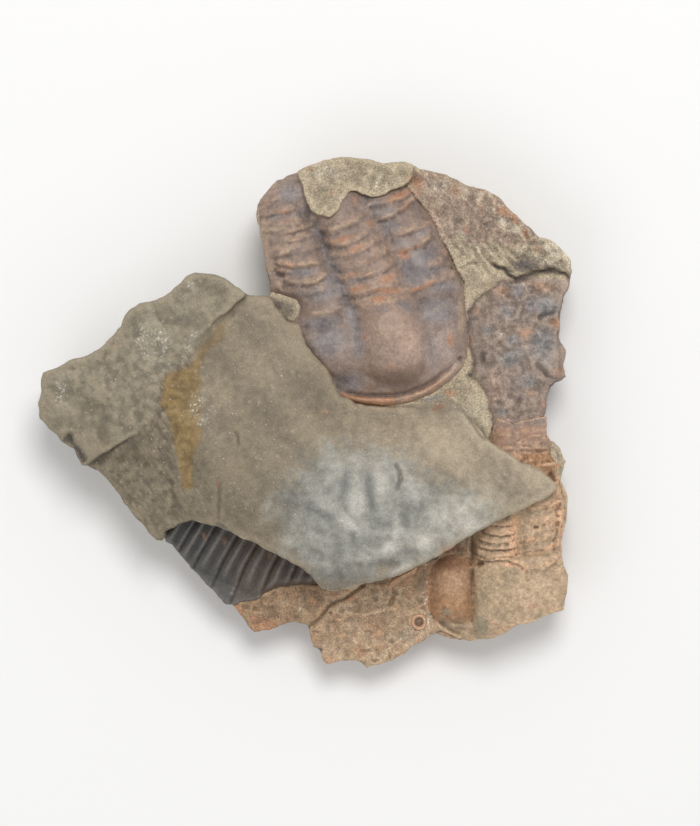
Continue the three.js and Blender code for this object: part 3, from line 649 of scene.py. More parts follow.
def lower_right_height(x, y):
    """The lower right trilobite's back."""
    u, v = LOWER_RIGHT_AXIS.local(x, y)
    inside = -outline_distance(LOWER_RIGHT_OUTLINE, x, y)
    wx, wy = worn(x, y, *LOWER_RIGHT_WEAR)
    axis = stations([(0, 5), (8, 5), (14, 4.4), (20, 4.1), (30, 3.2), (42, 2.8)], v)
    head = smooth(LOWER_RIGHT_NECK + 1.2, LOWER_RIGHT_NECK - 0.6, v)
    back = smooth(26, 30, v)
    height = 2.6 * (1 - (1 - np.clip(inside / 6, 0, 1)) ** 2.4)

    nose = np.maximum(0, 6 - v) / 6
    wide = np.where(u < 0, axis + 0.3, 12)
    glabella = 2.2 * np.maximum(0, 1 - (u / wide) ** 2 - 0.8 * nose**2) ** 0.8
    height += head * (glabella - 0.2 * bell(u - axis, 0.9))
    arch = 1.8 * hump(u, axis + 1) ** 0.8 * (1 - 0.6 * back)
    height += (1 - head) * (arch - 0.3)
    lobe = -larger(np.abs(x - 24.9) - 3.5, np.abs(y + 30.1) - 5.6, 2.4)
    height += 2.2 * (1 - (1 - np.clip(lobe / 2.6, 0, 1)) ** 2)

    height += steps(LOWER_RIGHT_RINGS, 1.5, wx, wy, 0.22) + steps(RED_SEGMENTS, 2.2, wx, wy)
    height += (0.9 + 0.6 * WARP(x, y, 3.3, size=3)) * steps(LOWER_RIGHT_PLATES, 2.6, wx, wy, 0.55)
    height -= 1.2 * bell(u + axis - 0.2, 0.8) * smooth(14, 15, v) * (1 - back)
    height -= 0.5 * smooth(41.5, 44, x) * smooth(-26, -23, y) * (y < -5)
    height += lines(LOWER_RIGHT_LINES, 0.5 * (x + wx), 0.5 * (y + wy))
    crumbly = smooth(41.5, 43.5, x) * smooth(-25, -22, y) + spot(39, -7.6, 3, 1.4, x, y)
    crumbly = np.minimum(crumbly + spot(35.4, -21, 1.2, 4, x, y) * 0.5, 1)
    height += (0.11 + 0.35 * crumbly) * GRAIN.rough(x, y, size=1.3, octaves=3, decay=0.6)
    tilt = 10.7 + BASE_SLOPE * (y - LOW_EDGE)
    fade = smooth(-10, -1.5, y)
    return tilt + np.maximum(height * (1 - 0.75 * fade) - 0.3 * fade, -0.2)


LOWER_LEFT_OUTLINE = [
    (4, -27.6), (2, -29.2), (-2, -29.3), (-5, -29.7), (-7, -30.6), (-8.4, -31.8), (-11, -32.1), (-13, -33),
    (-16.5, -31.6), (-20, -28), (-24, -23), (-24.2, -21.2), (-24, -19.4), (-22, -17.4), (-19, -16.4),
    (-15, -17.4), (-10, -19.4), (-5, -21.9), (0, -25), (3, -26.6),
]
LOWER_LEFT_SEAMS = [(-21.4, -23), (-18, -24), (-14.4, -26), (-10.6, -26.8), (-6.6, -28.6), (-3, -29.4)]


def lower_left_height(x, y):
    """The ribs of the lower left trilobite, which fan out a little from under the top bed."""
    inside = -outline_distance(LOWER_LEFT_OUTLINE, x, y)
    lean = 0.50 + 0.012 * (y + 26)
    at = x - lean * (y + 26) + 0.12 * WARP(x, y, size=4)
    seams = [sx - (0.50 + 0.012 * (sy + 26)) * (sy + 26) for sx, sy in LOWER_LEFT_SEAMS]
    phase = np.interp(at, [seams[0] - 4, *seams, seams[-1] + 4], np.arange(len(seams) + 2))
    part = phase - np.floor(phase)
    ribs = 1.0 * bell(part - 0.31, 0.2) + 0.45 * bell(part - 0.82, 0.13)
    seam = 0.3 * bell(np.minimum(part, 1 - part), 0.035)
    away = (-0.42 * x - 0.91 * y - 20) / 12
    vault = 3.3 * (1 - np.clip(away, 0, 1) ** 2)
    edge = 1 - (1 - np.clip(inside / 1.2, 0, 1)) ** 2
    height = (vault + ribs * smooth(1.1, 0.75, away) - seam) * edge + 0.3
    return 11 + np.maximum(height + 0.05 * GRAIN.rough(x, y, size=1.2, octaves=2), 0.1)


SLIVER_OUTLINE = [
    (14.3, -29.7), (14.3, -28.9), (14.9, -28.2), (16.3, -27.4), (17.8, -26.6), (19.3, -25.8), (19.1, -27),
    (18.4, -28.3), (17.2, -29.4), (15.7, -29.9), (15, -29.4),
]
SLIVER_CREST = [(14.5, -29.4), (14.7, -28.8), (16.3, -27.8), (17.8, -27), (19.1, -26.2)]
OSSICLE = (19.4, -35.6)


def sliver_height(x, y):
    """The thin curved plate near the front edge of the top bed."""
    distance, _, _ = line_distance(SLIVER_CREST, x, y)
    return base_height(x, y) + 0.35 + 0.9 * bell(distance, 0.45) + 0.5 * np.exp(-distance / 1.2)


def ossicle_height(x, y):
    """The ring of the little stalk joint."""
    radius = np.hypot(x - OSSICLE[0], (y - OSSICLE[1]) / 1.08)
    spokes = 0.08 * np.cos(9 * x) * smooth(0.8, 0.5, radius)
    return base_height(x, y) + 0.75 * bell(radius - 1.05, 0.3) + 0.1 + spokes


OSSICLE_TURNS = [math.tau * k / 12 for k in range(12)]
OSSICLE_OUTLINE = [(OSSICLE[0] + 1.45 * math.cos(a), OSSICLE[1] + 1.55 * math.sin(a)) for a in OSSICLE_TURNS]


CASTS = {
    "trilobite_upper": (UPPER_OUTLINE, upper_height, 2.4),
    "trilobite_lower_right": (LOWER_RIGHT_OUTLINE, lower_right_height, 2.4),
    "trilobite_lower_left": (LOWER_LEFT_OUTLINE, lower_left_height, 2),
    "rim_sliver": (SLIVER_OUTLINE, sliver_height, 2),
    "stalk_ossicle": (OSSICLE_OUTLINE, ossicle_height, 1.4),
}

# ---------------------------------------------------------------- solids


class Plot:
    """A patch of working area, seen from above, with a stack of levels over it."""

    def __init__(self, low, high, cell):
        self.low, self.cell = np.array(low, float), cell
        self.count = [int(math.ceil((b - a) / cell)) + 1 for a, b in zip(low, high)]
        axes = [a + cell * np.arange(n) for a, n in zip(low, self.count)]
        self.x, self.y = np.meshgrid(axes[0], axes[1], indexing="ij")
        self.x, self.y = self.x.astype(np.float32), self.y.astype(np.float32)
        self.levels = axes[2]

    def corners(self, field):
        """Vertices and quads of the surface where a field, negative inside, is zero."""
        volume = np.stack([field(z) for z in self.levels], axis=-1).astype(np.float32)
        volume[[0, -1]], volume[:, [0, -1]], volume[:, :, [0, -1]] = 1, 1, 1
        grid = openvdb.FloatGrid(1.0)
        grid.copyFromArray(np.clip(volume / self.cell, -3, 3))
        points, quads = grid.convertToQuads(isovalue=0.0)
        return points * self.cell + self.low, quads


def mesh_piece(name, points, quads):
    """A new object with that mesh of quads, in place."""
    mesh = bpy.data.meshes.new(name)
    mesh.vertices.add(len(points))
    mesh.vertices.foreach_set("co", (points * MM).ravel())
    mesh.loops.add(quads.size)
    mesh.loops.foreach_set("vertex_index", quads.ravel().astype(np.int32))
    mesh.polygons.add(len(quads))
    mesh.polygons.foreach_set("loop_start", np.arange(0, quads.size, 4, dtype=np.int32))
    mesh.update(calc_edges=True)
    mesh.validate()
    piece = bpy.data.objects.new(name, mesh)
    bpy.context.scene.collection.objects.link(piece)
    return piece


def thinned(piece, faces):
    """The piece with no more than that many triangles."""
    triangles = sum(len(p.vertices) - 2 for p in piece.data.polygons)
    if triangles > faces:
        modifier = piece.modifiers.new("thin", "DECIMATE")
        modifier.ratio = faces / triangles
        graph = bpy.context.evaluated_depsgraph_get()
        mesh = bpy.data.meshes.new_from_object(piece.evaluated_get(graph))
        piece.modifiers.clear()
        old, piece.data = piece.data, mesh
        name = old.name
        bpy.data.meshes.remove(old)
        mesh.name = name
    piece.data.shade_smooth()
    return piece


def cover_distance(x, y):
    """Distance outside the beds that lie over the fossils."""
    return np.minimum(outline_distance(CAP, x, y), outline_distance(TONGUE, x, y))


def side_distance(x, y):
    """Distance outside the block's outline, roughened."""
    wx = x + 0.3 * WARP(x, y, size=2.5) + 0.12 * WARP(y, x, size=0.9)
    wy = y + 0.3 * WARP(x, y, 9.5, size=2.5) + 0.12 * WARP(y, x, 4.5, size=0.9)
    return outline_distance(BLOCK, wx, wy)


def side_inset(x, y, z):
    """How far the side stands back at a level: ledges of thin beds, and a broken foot."""
    wide = 0.5 + 0.5 * BEDS(x, y, 3.2 * z, size=9)
    thin = BEDS.rough(x, y, 5 * z, size=5, octaves=2)
    ledge = 0.9 * smooth(0.3, 0.7, wide) + 0.3 * smooth(-0.3, 0.3, thin)
    foot = UNDERCUT * max(0, 1 - z / FOOT) * (1 + 0.7 * BEDS(x, y, z, size=14))
    return ledge + foot


def stone():
    """The block of stone with a pocket under each cast."""
    plot = Plot((-47, -46, -0.9), (47, 46, 28.5), STONE_CELL)
    x, y = plot.x, plot.y
    around = side_distance(x, y)
    wx = x + 0.25 * WARP(x, y, 2.2, size=3) + 0.15 * GRAIN(x, y, size=1.2)
    wy = y + 0.25 * WARP(x, y, 7.7, size=3) + 0.15 * GRAIN(y, x, size=1.2)
    base, shelf = base_height(x, y), shelf_height(x, y)
    pockets = [(height(x, y), outline_distance(edge, x, y), depth) for edge, height, depth in CASTS.values()]
    cover = cover_distance(x, y)
    for top, edge, _ in pockets:
        base, shelf = (np.where(edge < 0.1, np.minimum(bed, top - SUNK), bed) for bed in (base, shelf))
    beds = [
        (shelf, outline_distance(SHELF, wx, wy) + 0.5 * MOTTLE.rough(x, y, size=2.6, octaves=3), 1.4),
        (cap_height(x, y), outline_distance(CAP, wx, wy), 0.8),
        (flake_height(x, y), outline_distance(FLAKE, wx, wy), 0.6),
        (tongue_height(x, y), outline_distance(TONGUE, wx, wy), 0.45),
    ]

    def field(z):
        inset = side_inset(x, y, z)
        solid = z - base
        for top, edge, blend in beds:
            wall = edge + 0.25 * (inset - 0.6) * smooth(0, 2.5, top - z)
            solid = np.minimum(solid, larger(z - top, wall, blend))
        for top, edge, depth in pockets:
            pocket = OVERLAP + np.maximum(z - top, edge)
            pocket = np.maximum(pocket, top - depth - POCKET_FLOOR - z)
            solid = np.maximum(solid, -np.maximum(pocket, -cover - POCKET_REACH))
        solid = larger(solid, around + inset * smooth(0, 2, np.maximum(base, 17) - z), 0.7)
        return larger(solid, -z, 0.3)

    points, quads = plot.corners(field)
    return mesh_piece("matrix_stone", points, quads)


def cast(name):
    """One fossil, cut off at the edge of the block and a little way under the stone above it."""
    outline, height, depth = CASTS[name]
    low, high = (np.array(corner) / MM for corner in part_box(name))
    plot = Plot(low - 1.4, high + 1.4, CAST_CELL)
    x, y = plot.x, plot.y
    top = height(x, y)
    ragged = outline_distance(outline, x + 0.2 * WARP(x, y, size=2), y + 0.2 * WARP(y, x, size=2))
    around = larger(ragged, side_distance(x, y) + 0.15, 0.3)
    cover = cover_distance(x, y)
    around = np.maximum(around, -cover - CAST_REACH)
    floor = top - depth - CAST_FLOOR

    def field(z):
        body = larger(z - top, around + 0.3 * side_inset(x, y, z) * smooth(0.5, 2, top - z), 0.3)
        return np.maximum(body, floor - z)

    points, quads = plot.corners(field)
    return mesh_piece(name + "_cast", points, quads)


# ---------------------------------------------------------------- shader expressions


class Value:
    """A socket of a material, so that shader maths reads as an expression."""

    def __init__(self, tree, socket):
        self.tree, self.socket = tree, socket

    def _math(self, operation, *others):
        return self.tree.node("ShaderNodeMath", {"operation": operation}, [self, *others])

    def __add__(self, other):
        return self._math("ADD", other)

    def __sub__(self, other):
        return self._math("SUBTRACT", other)

    def __mul__(self, other):
        return self._math("MULTIPLY", other)

    def __rsub__(self, other):
        return self.tree.node("ShaderNodeMath", {"operation": "SUBTRACT"}, [other, self])

    __radd__, __rmul__ = __add__, __mul__

    def rise(self, low, high):
        """0 below low, 1 above high, and a smooth rise between. low may be above high."""
        inputs = {"Value": self, "From Min": low, "From Max": high}
        return self.tree.node("ShaderNodeMapRange", {"interpolation_type": "SMOOTHSTEP"}, inputs, "Result")


class Shader:
    """A new material whose nodes are made by one method."""

    def __init__(self, name):
        self.material = bpy.data.materials.new(name)
        self.material.use_nodes = True
        self.nodes = self.material.node_tree.nodes
        self.nodes.clear()
        self.place = self.node("ShaderNodeTexCoord", output="Object")

    def node(self, kind, settings=None, inputs=(), output=0):
        made = self.nodes.new(kind)
        for name, value in (settings or {}).items():
            setattr(made, name, value)
        pairs = inputs.items() if isinstance(inputs, dict) else enumerate(inputs)
        for name, value in pairs:
            if isinstance(value, Value):
                self.material.node_tree.links.new(value.socket, made.inputs[name])
            elif value is not None:
                made.inputs[name].default_value = value
        return Value(self, made.outputs[output])

    def noise(self, size, detail=3, roughness=0.55, stretch=1, turn=0):
        """Noise from 0 to 1 in features of that many millimetres, drawn out along a line turned from X."""
        size = size * MM
        turned, scale = (0, 0, math.radians(turn)), (size * stretch, size, size)
        inputs = {"Vector": self.place, "Rotation": turned, "Scale": scale}
        place = self.node("ShaderNodeMapping", {"vector_type": "TEXTURE"}, inputs)
        inputs = {"Vector": place, "Scale": 1.0, "Detail": detail, "Roughness": roughness}
        return self.node("ShaderNodeTexNoise", {}, inputs, "Fac")

    def cells(self, size):
        """Distance to the middle of the nearest of many cells of that many millimetres."""
        inputs = {"Vector": self.place, "Scale": 1 / (size * MM)}
        return self.node("ShaderNodeTexVoronoi", {}, inputs, "Distance")

    def mask(self, name):
        return self.node("ShaderNodeAttribute", {"attribute_name": name}, output="Fac")

    def mix(self, share, a, b, blend="MIX"):
        """Colour a, going over to colour b."""
        inputs = {0: share, 6: _colour(a), 7: _colour(b)}
        return self.node("ShaderNodeMix", {"data_type": "RGBA", "blend_type": blend}, inputs, 2)

    def shade(self, colour, amount):
        """The colour times a value near 1."""
        return self.mix(1.0, colour, amount, "MULTIPLY")

    def patch(self, name, ragged, rough=0.5, low=0.15, high=0.8):
        """A mask with an irregular edge."""
        return (self.mask(name) + (ragged - 0.5) * rough).rise(low, high)

    def vary(self, colour, noise, amount, low=0.3, high=0.7):
        """The colour made darker and lighter by a noise."""
        return self.shade(colour, (noise.rise(low, high) - 0.5) * amount + 1)

    def bump(self, height, distance, strength=1.0, below=None):
        inputs = {"Height": height, "Distance": distance * MM, "Strength": strength}
        if below is not None:
            inputs["Normal"] = below
        return self.node("ShaderNodeBump", {}, inputs, "Normal")

    def finish(self, colour, roughness, normal):
        inputs = {"Base Color": colour, "Roughness": roughness, "Normal": normal}
        surface = self.node("ShaderNodeBsdfPrincipled", {}, inputs, "BSDF")
        sink = self.nodes.new("ShaderNodeOutputMaterial")
        self.material.node_tree.links.new(surface.socket, sink.inputs["Surface"])
        return self.material


def _colour(value):
    return value if isinstance(value, Value) else (*value, 1.0)


# ---------------------------------------------------------------- masks on a surface


def coordinates(piece):
    flat = np.empty(len(piece.data.vertices) * 3, np.float32)
    piece.data.vertices.foreach_get("co", flat)
    return (flat.reshape(-1, 3) / MM).T


def facing_up(piece):
    """1 where a surface looks up, 0 on the sides and underneath."""
    normals = np.empty(len(piece.data.vertices) * 3, np.float32)
    piece.data.vertex_normals.foreach_get("vector", normals)
    return smooth(0.1, 0.45, normals[2::3])


def add_mask(piece, name, values):
    """Stores a value from 0 to 1 at each vertex."""
    attribute = piece.data.attributes.new(name, "FLOAT", "POINT")
    attribute.data.foreach_set("value", np.clip(values, 0, 1).astype(np.float32))


def add_relief(piece, name, reach, full):
    """Stores how far each vertex stands out of its surroundings: 0.5 is level, 1 a crest and 0 a furrow."""
    mesh = piece.data
    points = coordinates(piece).T.astype(np.float64)
    ends = np.empty(len(mesh.edges) * 2, np.int32)
    mesh.edges.foreach_get("vertices", ends)
    a, b = ends.reshape(-1, 2).T
    count = np.bincount(a, minlength=len(points)) + np.bincount(b, minlength=len(points))
    normals = np.empty(len(points) * 3, np.float32)
    mesh.vertex_normals.foreach_get("vector", normals)
    blurred = points.copy()
    for _ in range(max(1, reach // DETAIL**2)):
        total = np.zeros_like(blurred)
        for axis in range(3):
            for here, there in ((a, b), (b, a)):
                total[:, axis] += np.bincount(here, blurred[there, axis], len(points))
        blurred = 0.5 * blurred + 0.5 * total / np.maximum(count, 1)[:, None]
    stands_out = ((points - blurred) * normals.reshape(-1, 3)).sum(axis=1)
    add_mask(piece, name, 0.5 + 0.5 * stands_out / full)


def area(outline, soft, x, y):
    """1 inside an outline, 0 outside, with a ragged, soft edge."""
    ragged = 0.5 * soft * MOTTLE.rough(x, y, size=2.5, octaves=3)
    return smooth(soft, -soft, outline_distance(outline, x, y) + ragged)


OCHRE_VEIN = [
    (-9.8, 19.8), (-11.2, 19.4), (-13.2, 17.2), (-15.8, 14.8), (-17.8, 12.2), (-18.6, 10), (-20, 8.2),
    (-23.4, 7), (-24.4, 4), (-24.6, 1.6), (-23.6, 0), (-22.4, -3.6), (-21.4, -8), (-20.8, -12.4),
    (-19.6, -13), (-18.6, -11.6), (-19.2, -9), (-18, -5.4), (-17.4, -2), (-17.6, 3), (-17.4, 9), (-16, 11),
    (-13.6, 12.4), (-13.2, 14.6), (-13.8, 16.2), (-11.6, 18.2),
]
BLUE_FACE = [
    (-8, -15), (-2, -9), (4, -6), (10, -6), (16, -7.6), (22, -11), (28, -14), (31, -18), (24, -22.6),
    (15, -27), (5, -29.4), (1, -27.6), (-4, -23),
]
PLUM_ZONE = [
    (33.6, 23), (31.6, 21.4), (31, 19.6), (28.2, 18.8), (27.2, 17), (27.4, 12), (28.6, 8), (29.4, 6),
    (31.4, 3), (32, -5), (44, -4), (47, 10), (47, 24), (44, 23), (38, 23.4),
]
# Painted highlights on the lumps of the hump in front.
SHEEN = [
    (13.3, -10.7, 0.9, 1.2, 10, 1), (12.8, -13, 0.8, 1.1, 0, 0.9), (7.4, -18.4, 1.9, 1, -35, 1),
    (8.9, -14.6, 1.3, 4, -6, 0.5), (7.6, -16.6, 2, 1.6, 0, 0.4), (17.8, -12.8, 1.8, 1.6, 0, 0.7),
    (20, -22, 1.9, 1.3, 20, 0.7), (15.2, -19.4, 0.5, 2.6, 2, 0.4), (14.2, -22.3, 1.4, 1.4, 0, 0.9),
    (15.8, -26.2, 2, 0.6, 28, 0.9), (26.4, -19, 3.6, 1, 28, 0.5), (12.6, -9, 2.4, 1.2, 0, 0.4),
    (9, -7.4, 1.6, 0.8, 0, 0.3),
]
# Darker blue-grey strokes in the hollows of the hump: partly the stone's colour, partly painted shade.
BLUE_STROKES = [
    (6.9, -11.2, 1, 2.4, -12, 0.8), (10.9, -13, 1, 3.6, 12, 1), (3, -17, 2, 0.8, -35, 0.7),
    (13, -18.2, 2.4, 1.2, 0, 0.5), (17.6, -23, 2, 0.9, -10, 0.6), (8, -20.8, 0.7, 1.8, 25, 0.5),
    (16.8, -17.6, 0.9, 2.2, 0, 0.4),
]
WHITE_CHIPS = [
    (-26.6, 13, 2.4, 3.4, 0, 1), (-24.3, 12, 1.2, 3, 0, 0.9), (-23.4, 7.9, 0.9, 0.6, 0, 0.8),
    (-19.2, 12.6, 0.8, 2, -30, 0.9), (-20.6, 9.6, 1, 0.5, 40, 0.8), (-41.4, 4, 1.4, 3, 0, 0.8),
    (-18.4, 2, 1.2, 2.4, -20, 0.8), (-17.6, -1, 1.2, 0.9, -30, 1), (-16.5, 0, 0.5, 0.9, 0, 1),
    (-14.4, -4, 1.2, 0.5, 50, 0.8), (-28.4, 7, 0.8, 0.8, 0, 0.8), (-19.8, 22, 0.8, 0.8, 0, 0.8),
    (12.2, 39.4, 0.4, 2.2, -28, 1), (14.8, 38.8, 1.8, 0.9, 25, 0.6), (4, 41.2, 3.4, 1.6, 0, 0.7),
    (34.1, 32.8, 0.6, 0.7, 0, 1), (36.2, 30.9, 0.5, 0.5, 0, 1), (24, 31.6, 0.6, 0.6, 0, 1),
    (27.6, 37.1, 0.8, 0.5, -45, 0.9), (22.6, 39, 2.2, 0.8, 20, 0.8), (26.8, 30.6, 1.6, 0.7, -45, 0.8),
    (33, 33.2, 2.4, 0.8, -50, 0.7), (42, 25.8, 3, 0.6, -18, 0.8), (29.4, 28.2, 1, 0.4, -55, 0.9),
    (-0.9, -32.8, 0.4, 1.5, 0, 0.9), (-4.3, -32.6, 0.25, 0.9, -32, 0.9), (36.2, 17.4, 0.4, 1.4, -18, 0.7),
    (32.8, 13.5, 0.9, 0.9, 0, 0.7), (28, 0, 3, 2, 0, 0.5), (21, -33, 1.4, 5, 0, 0.8),
    (18, -37.6, 4, 1.4, 20, 0.7), (23, -38.2, 4, 0.7, -10, 0.8),
]
FACE_HAZE = [
    (25.4, -16.6, 4.6, 2.6, 28, 1), (20.4, -20.4, 2.4, 1.8, 20, 1), (28.6, -18.6, 2.6, 1, 28, 0.8),
    (30.6, -14.6, 3, 2, 0, 0.4), (10, -7.4, 3, 1.6, 0, 0.4),
]
# Darker patches: painted shade on parts of the top bed's face turned from the light, and darker patches on
# the plum bed.
FACE_DUSK = [
    (-1.2, -14.6, 3.6, 3.4, 0, 1), (-4, -18.6, 3.4, 2.4, 20, 0.8), (-8, -14, 3, 4, 0, 0.4),
    (14, -24.8, 3.6, 1.5, 18, 0.8), (35.4, -12, 5, 2.4, 25, 0.5), (-8, -4, 5, 6, 0, 0.35),
    (0, -23.6, 4, 1.6, -25, 0.4), (28, 22.8, 2.4, 2, 0, 0.9), (34, 16.8, 1.8, 2.4, 0, 1),
    (38, 5, 3, 2.6, 0, 1), (42.2, 9.2, 1.8, 1.8, 0, 1.1), (36.4, 25.8, 1.6, 0.8, 0, 0.6),
]
PLUM_LIGHT = [
    (33, 21, 2, 1.3, 20, 1), (32, 5, 1.8, 3.4, 0, 1), (36.4, 14.4, 1.4, 0.9, 0, 0.8),
    (40.4, 22, 3, 0.8, -6, 0.6), (31, 16, 1, 2, 0, 0.5), (43, 16.4, 1, 1, 0, 0.5),
]
MAUVE_ZONE = [
    (16.8, 40.8), (17.6, 37), (20.6, 33.4), (22.8, 29), (25.6, 30), (28.6, 28.4), (32, 28.8), (34.6, 27.8),
    (38, 28), (41.6, 26.6), (40.4, 30), (36.4, 34.4), (31.4, 38.6), (25, 41), (20.4, 42),
]
RUST_STAINS = [
    (24.4, 3.7, 1, 0.7, 0, 0.8), (22.8, 1.4, 1.2, 0.7, 0, 0.7), (33.4, 34.6, 1.1, 0.9, 0, 1),
    (35.3, 33.6, 0.8, 1.4, 40, 0.9), (37.4, 30.8, 0.6, 1.6, 35, 0.8), (39.6, 28, 1.2, 0.9, -30, 0.5),
    (25.6, 38, 1.8, 1.1, -40, 0.6), (29.8, 35.2, 1.6, 1, -50, 0.4), (27.6, 31.4, 0.8, 1, 30, 0.8),
    (18.6, 39.6, 1.6, 2, 35, 0.7), (19, 37.6, 1.1, 0.5, 10, 0.6), (0.8, 41.6, 0.8, 0.4, 0, 0.9),
    (4.6, 37.6, 0.4, 0.3, 0, 0.9), (-14.6, -11.6, 0.35, 0.8, 0, 1), (-32, 11.6, 0.3, 0.3, 0, 1),
    (-42.2, 1.6, 0.35, 0.4, 0, 0.9), (-40.3, 3.4, 0.4, 0.4, 0, 0.7), (3.4, 0.4, 0.6, 0.4, 0, 0.8),
    (25.2, 3.8, 0.9, 0.6, 0, 0.6), (22.4, 1, 0.9, 0.9, 0, 0.8), (40.6, 21.8, 3.2, 1.1, -10, 0.55),
    (42.8, 15.8, 1.4, 1.2, 0, 0.7), (37.6, 14, 1.7, 1.3, 20, 0.6), (43.4, 7.4, 1.2, 1.4, 0, 0.5),
    (33.4, 21, 1.6, 1, 0, 0.6), (29.2, 17.6, 1.4, 1, 0, 0.5), (28, 12, 0.9, 2, 0, 0.5),
    (38.6, 3.6, 1.6, 1, 0, 0.4), (40.8, 1.2, 0.8, 2, 0, 0.5), (32, 2.4, 1, 0.8, 0, 0.4),
    (-7, -36.4, 2.6, 1.6, 0, 0.9), (-12, -33.4, 1.8, 1, -45, 1), (-8.8, -35.2, 0.8, 0.9, 0, 1),
    (-4.6, -37, 1.4, 0.6, -15, 0.9), (-2.4, -31, 2.4, 1.3, 0, 0.4), (2, -32.6, 3, 2, 0, 0.35),
    (5, -31, 1.2, 0.9, 0, 0.6), (4.8, -35.4, 1.9, 1.9, 0, 0.45), (12, -36.6, 2.4, 3, 0, 0.5),
    (3.6, -42.2, 1.4, 0.9, 0, 0.6), (20.6, -29, 0.7, 4.6, 0, 0.6), (20, -33, 1.8, 1.4, 0, 0.5),
    (24, -38.2, 4, 0.7, -12, 0.6), (25, -23, 2.6, 1, 10, 0.8), (42.6, -8.8, 1.4, 0.5, 0, 1),
]
# Dark spots: real stains and cracks, plus painted shadow in gaps under bed edges, in the notch and in pits.
DARK_SPOTS_AND_SHADOWS = [
    (29.6, 33.2, 1.5, 0.8, -30, 0.6), (31, 32.4, 1.4, 0.8, -40, 0.5), (26, 33, 2, 1.2, -45, 0.5),
    (29.6, 30.8, 1.3, 0.8, -30, 0.5), (32.4, 30.6, 1.6, 0.8, -45, 0.4), (38.4, 31.6, 0.4, 1.4, 35, 0.8),
    (24, 29, 1.4, 0.6, 0, 0.4), (15.8, -10.8, 0.35, 1.6, 8, 0.45), (-38.6, -6.4, 1.6, 0.9, -60, 1),
    (-40, -4.2, 0.6, 0.9, 0, 1), (-35.4, 9, 0.3, 0.5, 0, 0.8), (-2.4, 17.4, 0.9, 0.8, 0, 0.9),
    (-4.6, 18.6, 0.7, 1.4, 30, 0.8), (-3, 16.2, 1.6, 0.4, -35, 0.7), (-14.2, -18.8, 1.6, 0.5, -30, 0.8),
    (34, 0.4, 1.3, 0.9, 0, 0.4), (36.6, 2.8, 1, 1.2, 0, 0.7), (-3.2, 18, 1.8, 1.8, 0, 0.6),
    (30.4, 9.6, 0.5, 1.4, 0, 0.7), (28, 6.8, 0.7, 0.4, 0, 0.8), (41, 17, 2, 0.5, 15, 0.7),
    (40.6, 7.2, 0.4, 2, 45, 0.7), (34.6, 11, 1.2, 0.5, -35, 0.5), (42.8, 6.1, 1.2, 0.4, 0, 0.6),
    (-14.8, -31, 1.4, 0.5, -38, 1), (1.2, -30.4, 1.2, 0.4, -15, 0.7), (9, -42.6, 3, 0.4, -8, 0.6),
    (22, -24.6, 0.8, 0.5, 0, 0.8), (24.2, -23.4, 2, 0.5, 10, 0.4), (2.3, -40.6, 0.6, 0.5, 0, 0.9),
]
BLUE_STAINS = [
    (21.6, 2.7, 2.2, 0.5, 20, 0.9), (35, 9.6, 2.4, 1.6, 0, 0.9), (35.4, 12.6, 1.2, 1, 0, 1),
    (41, 18.4, 2.6, 1.8, -10, 1), (40.4, 12, 3, 3.6, 0, 0.8), (36.2, 21.2, 1.2, 1.6, 0, 0.8),
    (34, 17.4, 2, 2, 0, 0.6), (31, 14.4, 1.4, 1.2, 0, 0.7), (38, 5.6, 2.6, 1.8, 0, 0.6),
    (38.2, 18.4, 1, 2.4, 0, 0.7), (36.6, 10.4, 1.6, 2, 0, 0.6), (33.4, 0.4, 1.2, 0.6, 0, 0.8),
    (41.6, 8.4, 1.4, 0.8, 0, 0.6),
]


